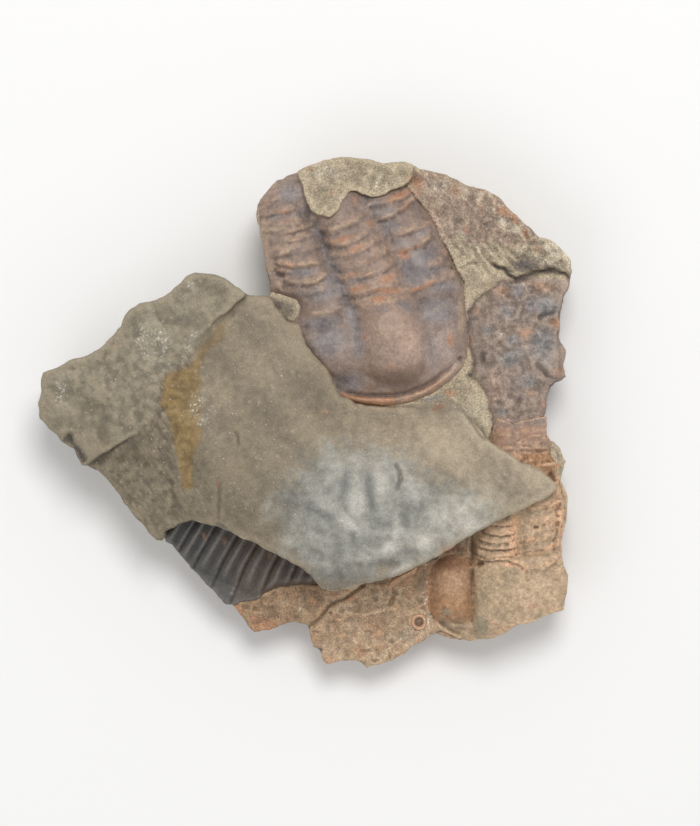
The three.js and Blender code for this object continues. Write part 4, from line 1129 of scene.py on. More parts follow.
def mark_stone(piece):
    x, y, z = coordinates(piece)
    low = smooth(0.7, 2.2, np.maximum(cap_height(x, y) - z, -0.2))
    on_cap = area(CAP, 0.3, x, y) * (1 - low)
    on_tongue = area(TONGUE, 0.3, x, y)
    up = facing_up(piece)
    rusty = (1 - on_cap) * smooth(-21, -25, y) * smooth(17.5, 15, z)
    add_mask(piece, "cap", on_cap)
    add_mask(piece, "ochre", area(OCHRE_VEIN, 0.9, x, y) * on_cap * (1 - 0.34 * smooth(2, 12, y)) * up)
    add_mask(piece, "blue", area(BLUE_FACE, 6, x, y) * on_cap * (1 - 0.35 * smooth(2, -6, x)))
    add_mask(piece, "plum", area(PLUM_ZONE, 0.7, x, y) * (1 - on_cap))
    add_mask(piece, "rusty", rusty)
    add_mask(piece, "burnt", rusty * smooth(6, -2, x))
    # Painted shade in the cleft and on the steep face above it.
    add_mask(piece, "cleft", np.maximum(0.9 * groove(CLEFT, 0.3, x, y, 0.08), 0.8 * spots(CLEFT_FACE, x, y)))
    add_mask(piece, "far_rim", smooth(4.5, 1.5, -side_distance(x, y)) * smooth(17, 31, x) * smooth(22, 27, y))
    add_mask(piece, "haze", spots(FACE_HAZE, x, y) * on_cap)
    add_mask(piece, "dusk", spots(FACE_DUSK, x, y) * up)
    add_mask(piece, "light", spots(PLUM_LIGHT, x, y) * up)
    add_mask(piece, "mauve", area(MAUVE_ZONE, 1.2, x, y) * (1 - on_cap) * (1 - on_tongue) * up)
    add_mask(piece, "flank", on_cap * smooth(-13, -24, x) * (1 - area(FLAKE, 0.5, x, y)))
    add_mask(piece, "flake", area(FLAKE, 0.4, x, y))
    # Painted shade: the lower left of the face is darker, as it is turned from the light.
    add_mask(piece, "shade", on_cap * smooth(10, -12, x) * smooth(6, -8, y))
    # Lighter towards the right of the face: partly the stone's tone, partly painted light where the face
    # turns to the lamp.
    add_mask(piece, "pale", on_cap * smooth(2, 16, x) * smooth(-14, -2, y + 0.35 * (x - 16)))
    # Painted shade on the lip at the front of the hump, which slopes away from the light.
    add_mask(piece, "lip", on_cap * smooth(16, 6, x) * smooth(-24.6, -27.6, y))
    add_mask(piece, "sheen", spots(SHEEN, x, y) * on_cap)
    add_mask(piece, "blue_grey", spots(BLUE_STROKES, x, y) * on_cap)
    add_mask(piece, "white", spots(WHITE_CHIPS, x, y) * up)
    add_mask(piece, "rust", spots(RUST_STAINS, x, y) * up)
    add_mask(piece, "dark", spots(DARK_SPOTS_AND_SHADOWS, x, y) * up)
    add_mask(piece, "slate", spots(BLUE_STAINS, x, y) * up)
    add_mask(piece, "bevel", smooth(27, 31, 0.35 * x + 0.75 * y) * (1 - on_tongue))
    add_relief(piece, "relief", 8, 0.12)


def stone_material():
    s = Shader("siltstone")
    broad = s.noise(14, 3, 0.5)
    large = s.noise(4.5, 4, 0.6)
    patches = s.noise(2.6, 4, 0.6)
    blotches = s.noise(1.2, 3, 0.6)
    grain = s.noise(0.42, 3, 0.7)
    fine = s.noise(0.2, 2, 0.6)
    tiny = s.noise(0.26, 2, 0.6)
    splinters = s.noise(0.8, 4, 0.6, stretch=4, turn=-50)
    strokes = s.noise(0.7, 4, 0.65, stretch=2.6, turn=-60)
    chips = s.noise(0.42, 3, 0.6, stretch=1.2, turn=60)
    streaks = s.noise(0.5, 3, 0.6, stretch=3.2, turn=-52)
    relief = s.mask("relief")
    bed = 1 - s.mask("cap")
    bevel = s.mask("bevel")

    colour = s.mix(broad.rise(0.25, 0.75), (0.222, 0.181, 0.125), (0.254, 0.208, 0.146))
    # Lighter towards the right: partly the stone's tone, partly painted light.
    colour = s.mix(s.mask("pale"), colour, (0.335, 0.275, 0.196))
    olive = s.mix(large.rise(0.35, 0.66), (0.315, 0.255, 0.174), (0.37, 0.304, 0.212))
    colour = s.mix(bed, colour, olive)
    flake = s.mix(large.rise(0.3, 0.7), (0.218, 0.185, 0.128), (0.246, 0.212, 0.152))
    colour = s.mix(s.mask("flake") * 0.9, colour, flake)
    # Painted shade: the broken left flank is darker, as its facets turn from the light.
    colour = s.mix(s.mask("flank").rise(0.1, 0.9) * 0.8, colour, (0.174, 0.143, 0.099))
    colour = s.vary(colour, strokes, s.mask("flank") * 0.8 + s.mask("flake") * 0.08, 0.35, 0.65)
    # Painted shade on the lower left of the face.
    colour = s.mix(s.mask("shade") * 0.6, colour, (0.166, 0.136, 0.09))
    blue = s.mix(patches.rise(0.3, 0.7), (0.248, 0.245, 0.215), (0.312, 0.302, 0.265))
    colour = s.mix(s.patch("blue", large, 0.7, 0.1, 1.0), colour, blue)
    # Darker strokes in the hump's hollows: partly the stone's colour, partly painted shade.
    colour = s.mix(s.mask("blue_grey") * 0.7, colour, (0.205, 0.212, 0.2))
    colour = s.mix(s.mask("haze") * patches.rise(0, 0.6) * 0.9, colour, (0.44, 0.412, 0.352))
    # Painted highlights on the hump's lumps.
    colour = s.mix(s.mask("sheen") * patches.rise(0.2, 0.6) * 0.7, colour, (0.46, 0.43, 0.395))
    # Painted shade on parts of the face turned from the light, and darker patches on the plum bed.
    colour = s.shade(colour, s.patch("dusk", patches, 0.5, 0.1, 1.0) * -0.32 + 1)
    # Painted shade on the lip.
    colour = s.shade(colour, s.mask("lip") * -0.38 + 1)
    ochre = s.mix(patches.rise(0.35, 0.65), (0.175, 0.113, 0.038), (0.25, 0.168, 0.07))
    colour = s.mix(s.patch("ochre", patches, 0.8, 0.2, 0.9) * 0.92, colour, ochre)
    plum = s.mix(large.rise(0.36, 0.64), (0.225, 0.168, 0.138), (0.3, 0.228, 0.184))
    colour = s.mix(s.patch("plum", patches, 0.7) * 0.95, colour, plum)
    colour = s.mix(s.patch("light", patches, 0.7, 0.15, 0.9) * 0.7, colour, (0.4, 0.288, 0.222))
    front = s.mix(large.rise(0.4, 0.6), (0.34, 0.237, 0.148), (0.425, 0.303, 0.196))
    front = s.mix(patches.rise(0.5, 0.68) * 0.65, front, (0.4, 0.215, 0.122))
    front = s.mix(s.mask("burnt") * 0.75, front, (0.225, 0.138, 0.075))
    colour = s.mix(s.mask("rusty").rise(0.1, 0.9) * 0.95, colour, front)
    colour = s.mix(s.patch("slate", patches) * 0.85, colour, (0.222, 0.21, 0.205))
    pale = s.mix(patches.rise(0.4, 0.6), (0.4, 0.315, 0.225), (0.47, 0.41, 0.31))
    mauve = s.mix(patches.rise(0.36, 0.64), (0.25, 0.175, 0.132), (0.385, 0.282, 0.21))
    ragged = (large - 0.5) * 2.2 + (blotches - 0.5) * 0.5
    colour = s.mix((s.mask("mauve") + ragged).rise(0.6, 0.85) * 0.9, colour, mauve)
    colour = s.mix(s.mask("far_rim") * (patches * 0.5 + blotches * 0.5).rise(0.46, 0.58) * 0.8, colour, pale)
    colour = s.mix(bevel * splinters.rise(0.58, 0.66) * 0.6, colour, (0.55, 0.46, 0.34))
    colour = s.mix(bevel * splinters.rise(0.42, 0.34) * 0.3, colour, (0.19, 0.14, 0.115))
    colour = s.mix(s.patch("rust", blotches) * 0.8, colour, (0.34, 0.172, 0.095))
    colour = s.mix(s.mask("white") * 0.3, colour, (0.34, 0.315, 0.26))
    colour = s.mix(s.mask("white").rise(0.1, 0.7) * chips.rise(0.58, 0.65) * 0.85, colour, (0.58, 0.54, 0.45))
    # Dark spots: stains and cracks, plus painted shadow in gaps, the notch and pits.
    colour = s.mix(s.patch("dark", blotches) * 0.7, colour, (0.075, 0.064, 0.06))
    # Painted shade in the cleft and on the face above it.
    colour = s.mix(s.patch("cleft", blotches, 0.7, 0.2, 0.9) * 0.85, colour, (0.085, 0.068, 0.065))
    colour = s.vary(colour, grain, bed * 0.14 + 0.3, 0.28, 0.72)
    colour = s.vary(colour, tiny, bed * 0.4 + 0.2 - s.mask("plum") * 0.25, 0.3, 0.7)
    colour = s.vary(colour, blotches, bed * 0.1 + 0.05, 0.3, 0.7)
    # Painted light: lighter on crests, and painted shade darker in furrows.
    colour = s.shade(colour, (relief.rise(0.1, 0.9) - 0.5) * 0.6 + 1)
    dots = s.cells(1.5).rise(0.24, 0.14) * s.noise(3, 2).rise(0.5, 0.58)
    colour = s.mix(dots * s.mask("cap") * 0.3, colour, (0.44, 0.38, 0.28))
    glints = s.cells(0.62).rise(0.2, 0.08) * s.noise(1.7, 2).rise(0.5, 0.6)
    colour = s.mix(glints * 0.45, colour, (0.58, 0.52, 0.42))
    pits = s.cells(0.9).rise(0.15, 0.06) * s.noise(2.3, 2).rise(0.55, 0.62)
    colour = s.mix(pits * (bed * 0.4 + 0.2), colour, (0.1, 0.075, 0.055))

    normal = s.bump(grain * 0.6 + streaks * 0.4, 0.14, 0.9)
    normal = s.bump(splinters * bevel, 0.5, 0.8, normal)
    normal = s.bump(fine, 0.06, 0.6, normal)
    roughness = grain.rise(0.2, 0.8) * 0.25 + 0.62 - glints * 0.3
    return s.finish(colour, roughness, normal)


# Orange patches, many on ring and plate crests: partly the shell's colour, partly painted highlight where
# crests face the light.
UPPER_ORANGE = [
    (24.6, 12.6, 0.6, 1.2, 15, 1.2), (12.4, 19.5, 1.4, 0.7, 0, 1), (14, 20.9, 3, 0.7, 0, 1),
    (19, 21.2, 2, 0.5, 15, 0.9), (14, 23, 2.1, 0.8, 30, 0.9), (9, 21.3, 2.6, 0.7, 12, 0.8),
    (8.6, 28, 2.4, 0.7, 30, 0.8), (16.8, 27.2, 1.4, 1.1, 0, 1), (6.4, 29.7, 3, 0.7, 20, 0.8),
    (7.8, 23.6, 1.6, 0.6, 15, 0.7), (8.4, 36.2, 1.2, 1.4, 0, 0.6), (15.8, 37, 2.6, 0.7, 28, 1),
    (17, 35.4, 1.8, 0.6, 40, 0.7), (14.4, 8, 1.2, 0.8, 0, 0.6), (9.7, 13, 0.8, 1.1, 0, 0.6),
    (18.6, 28.2, 3, 0.5, 22, 0.6), (21, 22.2, 2.4, 0.5, 26, 0.8), (11, 26, 1.6, 0.6, 20, 0.6),
    (-3.6, 34.4, 2, 0.5, 5, 0.7), (-3.8, 33.2, 1.4, 0.7, 20, 0.5), (11, 32.4, 1.4, 1, 0, 0.6),
    (-2.6, 25.3, 1.6, 0.6, -10, 0.7), (10.8, 4.6, 1.2, 0.7, 0, 0.5), (21.6, 4.8, 2.6, 0.7, 28, 0.6),
    (23.4, 27.6, 1, 1.8, 35, 0.5),
]
UPPER_BLUE = [
    (7.4, 5.4, 3, 1.9, 0, 1), (3.6, 12.6, 3.8, 3.6, 30, 0.95), (2.8, 15.4, 3.8, 1.3, 6, 1),
    (22.4, 17.6, 3.8, 2.8, 0, 0.95), (23.4, 21.5, 2.8, 1.1, 12, 1), (19.6, 25.3, 4, 2.9, 40, 1.3),
    (21.4, 11, 1.2, 3.6, 8, 0.6), (2.6, 20.6, 4.2, 1.5, 6, 0.95), (4.6, 23, 2, 1.6, -20, 0.9),
    (-0.6, 24.2, 2.8, 0.9, 0, 0.9), (11.2, 36.1, 2, 1.1, -15, 1), (13.2, 34.2, 2.2, 1, 12, 1),
    (14.4, 31.6, 1.8, 1.6, 0, 0.95), (20, 30.6, 2, 0.8, 25, 1), (16.2, 28.8, 2.2, 1, 10, 0.8),
    (-2.6, 37.4, 2, 2, 0, 0.9), (-5.2, 33.5, 2, 0.6, 0, 0.7), (-0.9, 34, 1, 1.4, 0, 0.9),
    (-2, 32.4, 2, 0.5, 10, 0.6), (9, 22.8, 2.4, 0.6, 15, 0.8), (17, 18.4, 2, 1.2, -30, 0.8),
    (13, 17.6, 1.8, 0.9, 0, 0.6), (12.6, 24.4, 2, 0.7, 15, 0.5), (24, 34, 1.2, 1.4, 0, 0.5),
    (8.8, 34.6, 0.8, 1.4, 10, 0.5),
]
# Buff patches, many along the left plates' crests: partly the shell's colour, partly painted highlight.
UPPER_BUFF = [
    (26.4, 16.6, 0.7, 4, 0, 1), (2.6, 17.3, 2.4, 0.45, 8, 0.8), (0.4, 25.3, 3.4, 0.5, 8, 0.9),
    (0.2, 22.7, 3, 0.5, 4, 0.9), (-5, 31.5, 2.6, 0.45, -6, 0.9), (0.4, 31.9, 2, 0.4, 14, 0.6),
    (-4, 28.1, 2.4, 0.8, 5, 0.9), (-6, 25, 1, 2.4, 0, 0.7), (-7.6, 34.6, 0.9, 1, 0, 0.8),
    (-4.6, 22, 1.2, 0.8, 0, 0.7), (5.8, 31.8, 2, 0.5, 14, 0.8), (20.6, 29.8, 1.6, 0.4, 40, 0.8),
    (14.6, 33.8, 1.4, 0.4, 25, 0.8), (17.8, 36.4, 1.4, 0.4, 40, 0.8), (0, 19.6, 0.8, 0.5, 0, 0.7),
    (9.6, 28.4, 1.8, 0.5, 30, 0.7), (-6, 38.6, 1.6, 1, 40, 0.6), (22.8, 5.6, 2, 0.5, 35, 0.5),
    (26, 8.2, 1, 0.5, 50, 0.6), (8.6, 21.6, 1.8, 0.4, 12, 0.6), (14.6, 23.2, 1, 0.5, 30, 0.6),
]
# Painted shade in furrows, under plate edges and along the head's edges.
UPPER_SHADE = [
    (14.6, 6.4, 4, 1.4, -4, 0.8), (11.2, 8.6, 1, 2, 0, 0.4), (5, 6.6, 1.4, 1, -20, 0.7),
    (3.2, 30.9, 1.4, 0.6, 0, 0.9), (4.6, 28.7, 1.4, 0.5, 0, 0.7), (2, 33, 0.8, 0.9, -30, 0.8),
    (0.6, 35.4, 0.5, 2, -15, 0.8), (5.4, 25.2, 1.4, 0.5, 0, 0.6), (6.4, 22.8, 1.2, 0.6, 0, 0.6),
    (12.4, 32.8, 1.6, 0.4, 10, 0.8), (11.4, 35, 1.6, 0.4, 0, 0.6), (0, 14.9, 1.6, 0.5, 5, 0.7),
    (-2.6, 20.3, 2.4, 0.5, -12, 0.9), (-4.2, 23.9, 1.2, 0.5, -30, 0.8), (-3.2, 21.9, 1.6, 0.35, 10, 0.7),
    (10, 3.3, 4.4, 0.35, 0, 0.6), (6.8, 18.6, 0.8, 0.8, 0, 0.5),
]
CHEEK_PALE = [(22.8, 9.4, 3, 3.6, 20, 1.6), (24.6, 13, 1.6, 3, 0, 1), (20.4, 6.2, 1.6, 0.8, 20, 0.5)]
# Painted shadow in front of the glabella's bulb and along its sides.
NOSE_SHADE = [(14.8, 6.6, 4.8, 1.9, -2, 1), (11.2, 8.8, 1.2, 2.4, 0, 0.6), (19.4, 8, 0.9, 1.6, -20, 0.6)]
HEAD_LIT = [
    (17.6, 12.4, 2, 2.6, 15, 1.1), (15, 14, 1.6, 2, 0, 0.5), (19, 9.4, 0.8, 1.8, 0, 0.7),
    (16, 9.6, 1.2, 0.8, 0, 0.4), (15.4, 16.6, 2.4, 0.8, 0, 0.3),
]


def mark_upper(piece):
    x, y, _ = coordinates(piece)
    u, v = UPPER_AXIS.local(x, y)
    rim = groove(UPPER_LINES[1][0], 0.75, x, y, 0.02)
    furrow = groove(UPPER_LEFT_FURROW, 1.4, x, y, 0.1)
    add_mask(piece, "orange", np.maximum(spots(UPPER_ORANGE, x, y), 1.5 * rim * smooth(16, 14.6, x)))
    fringe = 0.75 * smooth(-4.6, -7.4, x) * smooth(19, 21, y) * smooth(36, 33, y)
    add_mask(piece, "buff", np.maximum(np.maximum(spots(UPPER_BUFF, x, y), 0.5 * rim), fringe))
    add_mask(piece, "lit", spots(HEAD_LIT, x, y))
    add_mask(piece, "pale", spots(CHEEK_PALE, x, y))
    add_mask(piece, "brown", spots(NOSE_SHADE, x, y))
    add_mask(piece, "blue", np.maximum(spots(UPPER_BLUE, x, y), 0.75 * furrow))
    plates = UPPER_RINGS + UPPER_LEFT_PLATES + UPPER_RIGHT_PLATES
    wx, wy = worn(x, y, *UPPER_WEAR)
    strength = 0.6 + 0.9 * WARP(x + 9, y, size=3)
    # crest: painted highlight along the plates' crests, partly the shell's own orange; under: painted shadow
    # below each plate's front edge.
    add_mask(piece, "crest", strength * along_steps(plates, 0.6, 0.65, wx, wy))
    ends = np.maximum(smooth(-1.5, -4.5, u) * smooth(-8, -7, u), smooth(-9.5, -13, u))
    add_mask(piece, "under", (0.25 + 0.9 * ends) * strength * along_steps(plates, -0.4, 0.5, wx, wy))
    add_mask(piece, "rim", rim * smooth(26.5, 22, x))
    add_mask(piece, "dark", spots(UPPER_SHADE, x, y))
    add_mask(piece, "rosy", smooth(0.0, 0.6, 1 - (u / 5.9) ** 2) * smooth(3, 6, v) * smooth(33, 20, v))
    add_relief(piece, "relief", 16, 0.12)


def plum_material():
    s = Shader("plum_cast")
    patches = s.noise(2.6, 4, 0.6)
    blotches = s.noise(1.1, 3, 0.6)
    grain = s.noise(0.4, 3, 0.65)
    fine = s.noise(0.2, 2, 0.6)
    relief = s.mask("relief")
    colour = s.mix(patches.rise(0.34, 0.66), (0.222, 0.163, 0.136), (0.29, 0.212, 0.17))
    colour = s.mix(s.mask("rosy") * 0.6, colour, (0.34, 0.232, 0.177))
    colour = s.mix(s.mask("lit") * (patches.rise(0.2, 0.7) * 0.5 + 0.45), colour, (0.5, 0.345, 0.262))
    colour = s.mix(s.mask("pale") * (patches.rise(0.2, 0.7) * 0.4 + 0.4), colour, (0.42, 0.325, 0.282))
    slate = s.mix(patches.rise(0.36, 0.64), (0.175, 0.158, 0.16), (0.265, 0.235, 0.228))
    colour = s.mix(s.patch("blue", patches, 0.6, 0.1, 0.9) * 0.9, colour, slate)
    # Painted shadow in front of and beside the glabella's bulb.
    colour = s.mix(s.mask("brown") * 0.75, colour, (0.165, 0.108, 0.077))
    # Painted highlight along the crests, partly the shell's orange, and painted shadow under the plates'
    # front edges.
    colour = s.mix(s.mask("crest") * blotches.rise(0.3, 0.65) * 0.8, colour, (0.44, 0.285, 0.19))
    colour = s.mix(s.mask("under") * blotches.rise(0.8, 0.4) * 0.5, colour, (0.115, 0.085, 0.075))
    # Buff: partly the shell's colour, partly painted highlight on crests.
    colour = s.mix(s.patch("buff", blotches, 0.6, 0.15, 0.9) * 0.65, colour, (0.43, 0.315, 0.22))
    colour = s.mix(s.mask("rim") * (blotches.rise(0.2, 0.6) * 0.6), colour, (0.5, 0.29, 0.185))
    # Orange: partly the shell's colour, partly painted highlight on crests.
    colour = s.mix(s.patch("orange", blotches, 0.7, 0.2, 0.95) * 0.75, colour, (0.43, 0.205, 0.11))
    # Painted shade in furrows and under plate edges.
    colour = s.mix(s.patch("dark", blotches, 0.4, 0.15, 0.95) * 0.6, colour, (0.095, 0.066, 0.053))
    # Painted shade in furrows and painted highlight on crests.
    colour = s.mix(relief.rise(0.45, 0.1) * 0.6, colour, (0.075, 0.055, 0.048))
    colour = s.mix(relief.rise(0.56, 0.95) * 0.22, colour, (0.5, 0.35, 0.24))
    colour = s.vary(colour, grain, 0.34, 0.28, 0.72)
    colour = s.vary(colour, blotches, 0.22)
    glints = s.cells(0.9).rise(0.14, 0.05) * s.noise(2.1, 2).rise(0.54, 0.62)
    colour = s.mix(glints * 0.6, colour, (0.6, 0.5, 0.4))
    normal = s.bump(blotches, 0.12, 0.4)
    normal = s.bump(grain, 0.1, 0.6, normal)
    normal = s.bump(fine, 0.04, 0.5, normal)
    return s.finish(colour, grain.rise(0.2, 0.8) * 0.2 + 0.46, normal)


# Bright marks: mostly painted highlights on edges and crests facing the light, and a few bright grains.
LR_HIGHLIGHTS_AND_GRAINS = [
    (35.4, -20.6, 0.9, 4, 0, 1.1), (33.9, -19.2, 1.2, 0.5, 0, 0.7), (38.6, -15.8, 1.4, 0.3, 0, 0.8),
    (42, -18.6, 1.8, 0.5, 20, 0.5), (36.4, -7.2, 1, 0.6, -30, 0.8), (25.8, -24.8, 2.6, 0.6, 3, 1),
    (28.2, -25.6, 0.6, 0.9, 30, 0.9), (34.8, -25.6, 2.6, 0.45, -12, 1), (37.3, -26.5, 0.5, 0.5, 0, 1.2),
    (35.6, -18.4, 1, 2, 0, 1), (35.9, -21.6, 0.7, 1.6, 0, 0.8), (35.2, -23.7, 1.6, 0.7, 0, 1),
    (33, -18.9, 1.8, 0.5, -10, 0.5), (42.2, -25.3, 1.5, 0.25, 42, 1), (43.5, -18.6, 0.55, 5, 6, 1.4),
    (41.6, -22.6, 2, 0.35, 30, 0.9), (41.4, -17.2, 1.8, 0.4, 20, 0.5), (42.8, -13.2, 1, 0.6, 50, 1),
    (42.6, -15.6, 1.6, 0.5, 25, 1), (41.6, -8.6, 1.9, 0.4, 0, 1.1), (43, -11, 0.4, 2, -8, 0.9),
    (38.6, -21.2, 1.4, 0.3, 18, 0.7), (42.4, -22.6, 1.2, 0.3, 40, 0.8), (40.4, -18.3, 3, 0.35, 8, 0.6),
    (39.6, -15.9, 2, 0.3, 0, 0.7), (32, -35.4, 1, 0.3, 40, 0.6), (33.6, -36.4, 1.6, 0.3, 35, 0.6),
    (21, -28.6, 0.4, 3.4, 0, 0.7), (27.4, -22.2, 0.5, 0.9, 0, 0.7), (35.6, -6.8, 0.7, 0.5, -30, 1),
    (43.4, -26.4, 0.8, 0.3, -20, 0.7),
]
LR_OLIVE = [
    (30.2, -36, 1.4, 2.4, 10, 1), (30, -31, 1, 2.6, 0, 0.6), (24.1, -33.7, 0.9, 0.8, 0, 1),
    (23.6, -35.6, 1.6, 0.5, -48, 1), (31.6, -22.3, 2.6, 0.5, -12, 0.9), (30.2, -24.2, 1.8, 0.4, -22, 0.9),
    (39.8, -34.4, 1.2, 0.6, 20, 0.7), (39, -17, 1.8, 0.7, 0, 0.6), (43, -6.6, 1, 1.2, 0, 1),
    (41, -23.8, 1.2, 0.8, 0, 0.5), (29, -27, 0.8, 2, 0, 0.5),
]
# Dark marks: mostly painted shade in furrows, holes and under edges, and some dark spots.
LR_SHADE_AND_DARK_SPOTS = [
    (28.6, -23, 0.8, 1.8, 0, 1), (30.6, -20, 1.1, 0.5, -20, 1), (29.9, -25.5, 0.9, 0.35, 10, 1),
    (28.5, -27.4, 0.4, 1.8, 0, 0.8), (33, -23.1, 2, 0.3, 0, 0.9), (31, -21.8, 2, 0.25, -12, 0.7),
    (31, -24.9, 2, 0.3, 0, 0.8), (32, -20.7, 1.6, 0.3, -5, 0.8), (37.4, -22.6, 0.7, 2.4, 0, 0.4),
    (38.6, -25.6, 1, 0.5, 0, 0.7), (22.4, -24.8, 0.7, 0.4, 0, 0.7), (39.3, -19.2, 0.6, 0.25, 0, 1),
    (42.9, -20, 0.3, 0.7, 0, 0.9), (42.7, -16.4, 0.4, 0.5, 0, 1), (26, -35.6, 1.8, 0.5, -15, 0.7),
    (26.6, -36.6, 1.4, 0.6, -15, 0.7), (28.6, -37.2, 1.4, 0.8, -30, 0.6), (24.4, -34.7, 1.4, 0.3, -35, 0.8),
    (33.6, -0.7, 1.2, 0.5, 0, 0.5), (37.6, -5.4, 1.2, 0.3, 0, 0.6), (38, -6.1, 3, 0.2, 0, 0.5),
    (42, -6.2, 0.5, 1.2, 0, 0.8), (42, -10.4, 1.2, 0.7, -40, 0.9), (42.8, -12, 0.4, 1, 0, 0.8),
    (36.8, -7.8, 0.6, 0.8, 0, 0.6), (41.4, -9.5, 1, 0.3, 0, 0.8),
]
LR_RED = [
    (25.6, -26.4, 2.2, 1.2, 0, 0.8), (38.8, -32.6, 1.6, 0.8, 20, 0.8), (42, -33.2, 1.6, 0.8, 20, 0.6),
    (36, -33.6, 1, 0.4, 0, 0.7), (37.7, -28, 0.35, 1.2, 15, 0.7), (25.4, -37, 1, 0.7, 0, 0.6),
    (33.4, -3.4, 1.8, 2.4, 0, 0.7), (38.4, -3, 2.6, 2.6, 0, 0.7), (37.6, -2.6, 1.8, 0.6, 5, 1),
    (35, -2, 0.4, 0.9, 0, 0.9), (24.6, -23, 2, 0.9, 10, 0.8),
]


def mark_lower_right(piece):
    x, y, _ = coordinates(piece)
    cheek = smooth(28.9, 28.1, x) * smooth(-36.2, -35, y) * smooth(-24, -25, y)
    rings = smooth(28, 29, x) * smooth(37, 36, x) * smooth(-25.2, -24.6, y) * smooth(-14, -15, y)
    brown = smooth(32.6, 29.4, x) * smooth(28, 28.8, x) * smooth(-25, -26, y) * smooth(-34, -31, y)
    add_mask(piece, "cheek", cheek)
    add_mask(piece, "rings", rings)
    add_mask(piece, "brown", brown)
    lobes = smooth(36.4, 37.6, x) * smooth(43.2, 42, x) * smooth(-26.4, -25, y) * smooth(-13, -14, y)
    add_mask(piece, "lobes", lobes * (1 - 0.9 * along_steps(LOWER_RIGHT_PLATES, 0.5, 0.6, x, y)))
    add_mask(piece, "front", smooth(37, 35.4, x) * smooth(-25.4, -27, y) * (1 - cheek))
    add_mask(piece, "far", smooth(-9.5, -8, y))
    add_mask(piece, "deep", smooth(-3.4, -0.6, y + 0.8 * MOTTLE(x, y, size=2)))
    behind_tip = 1.4 * spot(39.4, -7.6, 3.6, 1.3, x, y) + spot(41.8, -10.4, 2.2, 2.6, x, y)
    add_mask(piece, "ochre", np.maximum(0.8 * cheek * smooth(-28, -33, y), behind_tip))
    add_mask(piece, "olive", spots(LR_OLIVE, x, y))
    add_mask(piece, "dark", spots(LR_SHADE_AND_DARK_SPOTS, x, y))
    add_mask(piece, "red", spots(LR_RED, x, y))
    add_mask(piece, "bright", spots(LR_HIGHLIGHTS_AND_GRAINS, x, y))
    wx, wy = worn(x, y, *LOWER_RIGHT_WEAR)
    plates = LOWER_RIGHT_RINGS + LOWER_RIGHT_PLATES + RED_SEGMENTS
    fainter = (1 - 0.55 * smooth(-9, -8, y)) * (1 - 0.5 * smooth(36.6, 37.4, x))
    strength = (0.75 + 0.6 * WARP(x, y, 3.3, size=3)) * fainter
    # crest: painted highlight along rings and plates, partly their own orange; under: painted shadow below
    # their front edges.
    thin = np.minimum(1.6 * strength, 1) * along_steps(plates, 0.35, 0.35, wx, wy)
    add_mask(piece, "crest", np.maximum(thin, 0.9 * along_steps(LOWER_RIGHT_PLATES, 0.6, 0.45, wx, wy)))
    thin = strength * along_steps(LOWER_RIGHT_RINGS + RED_SEGMENTS, -0.2, 0.25, wx, wy)
    add_mask(piece, "under", np.maximum(thin, 0.25 * along_steps(LOWER_RIGHT_PLATES, -0.5, 0.6, wx, wy)))
    add_relief(piece, "relief", 16, 0.12)


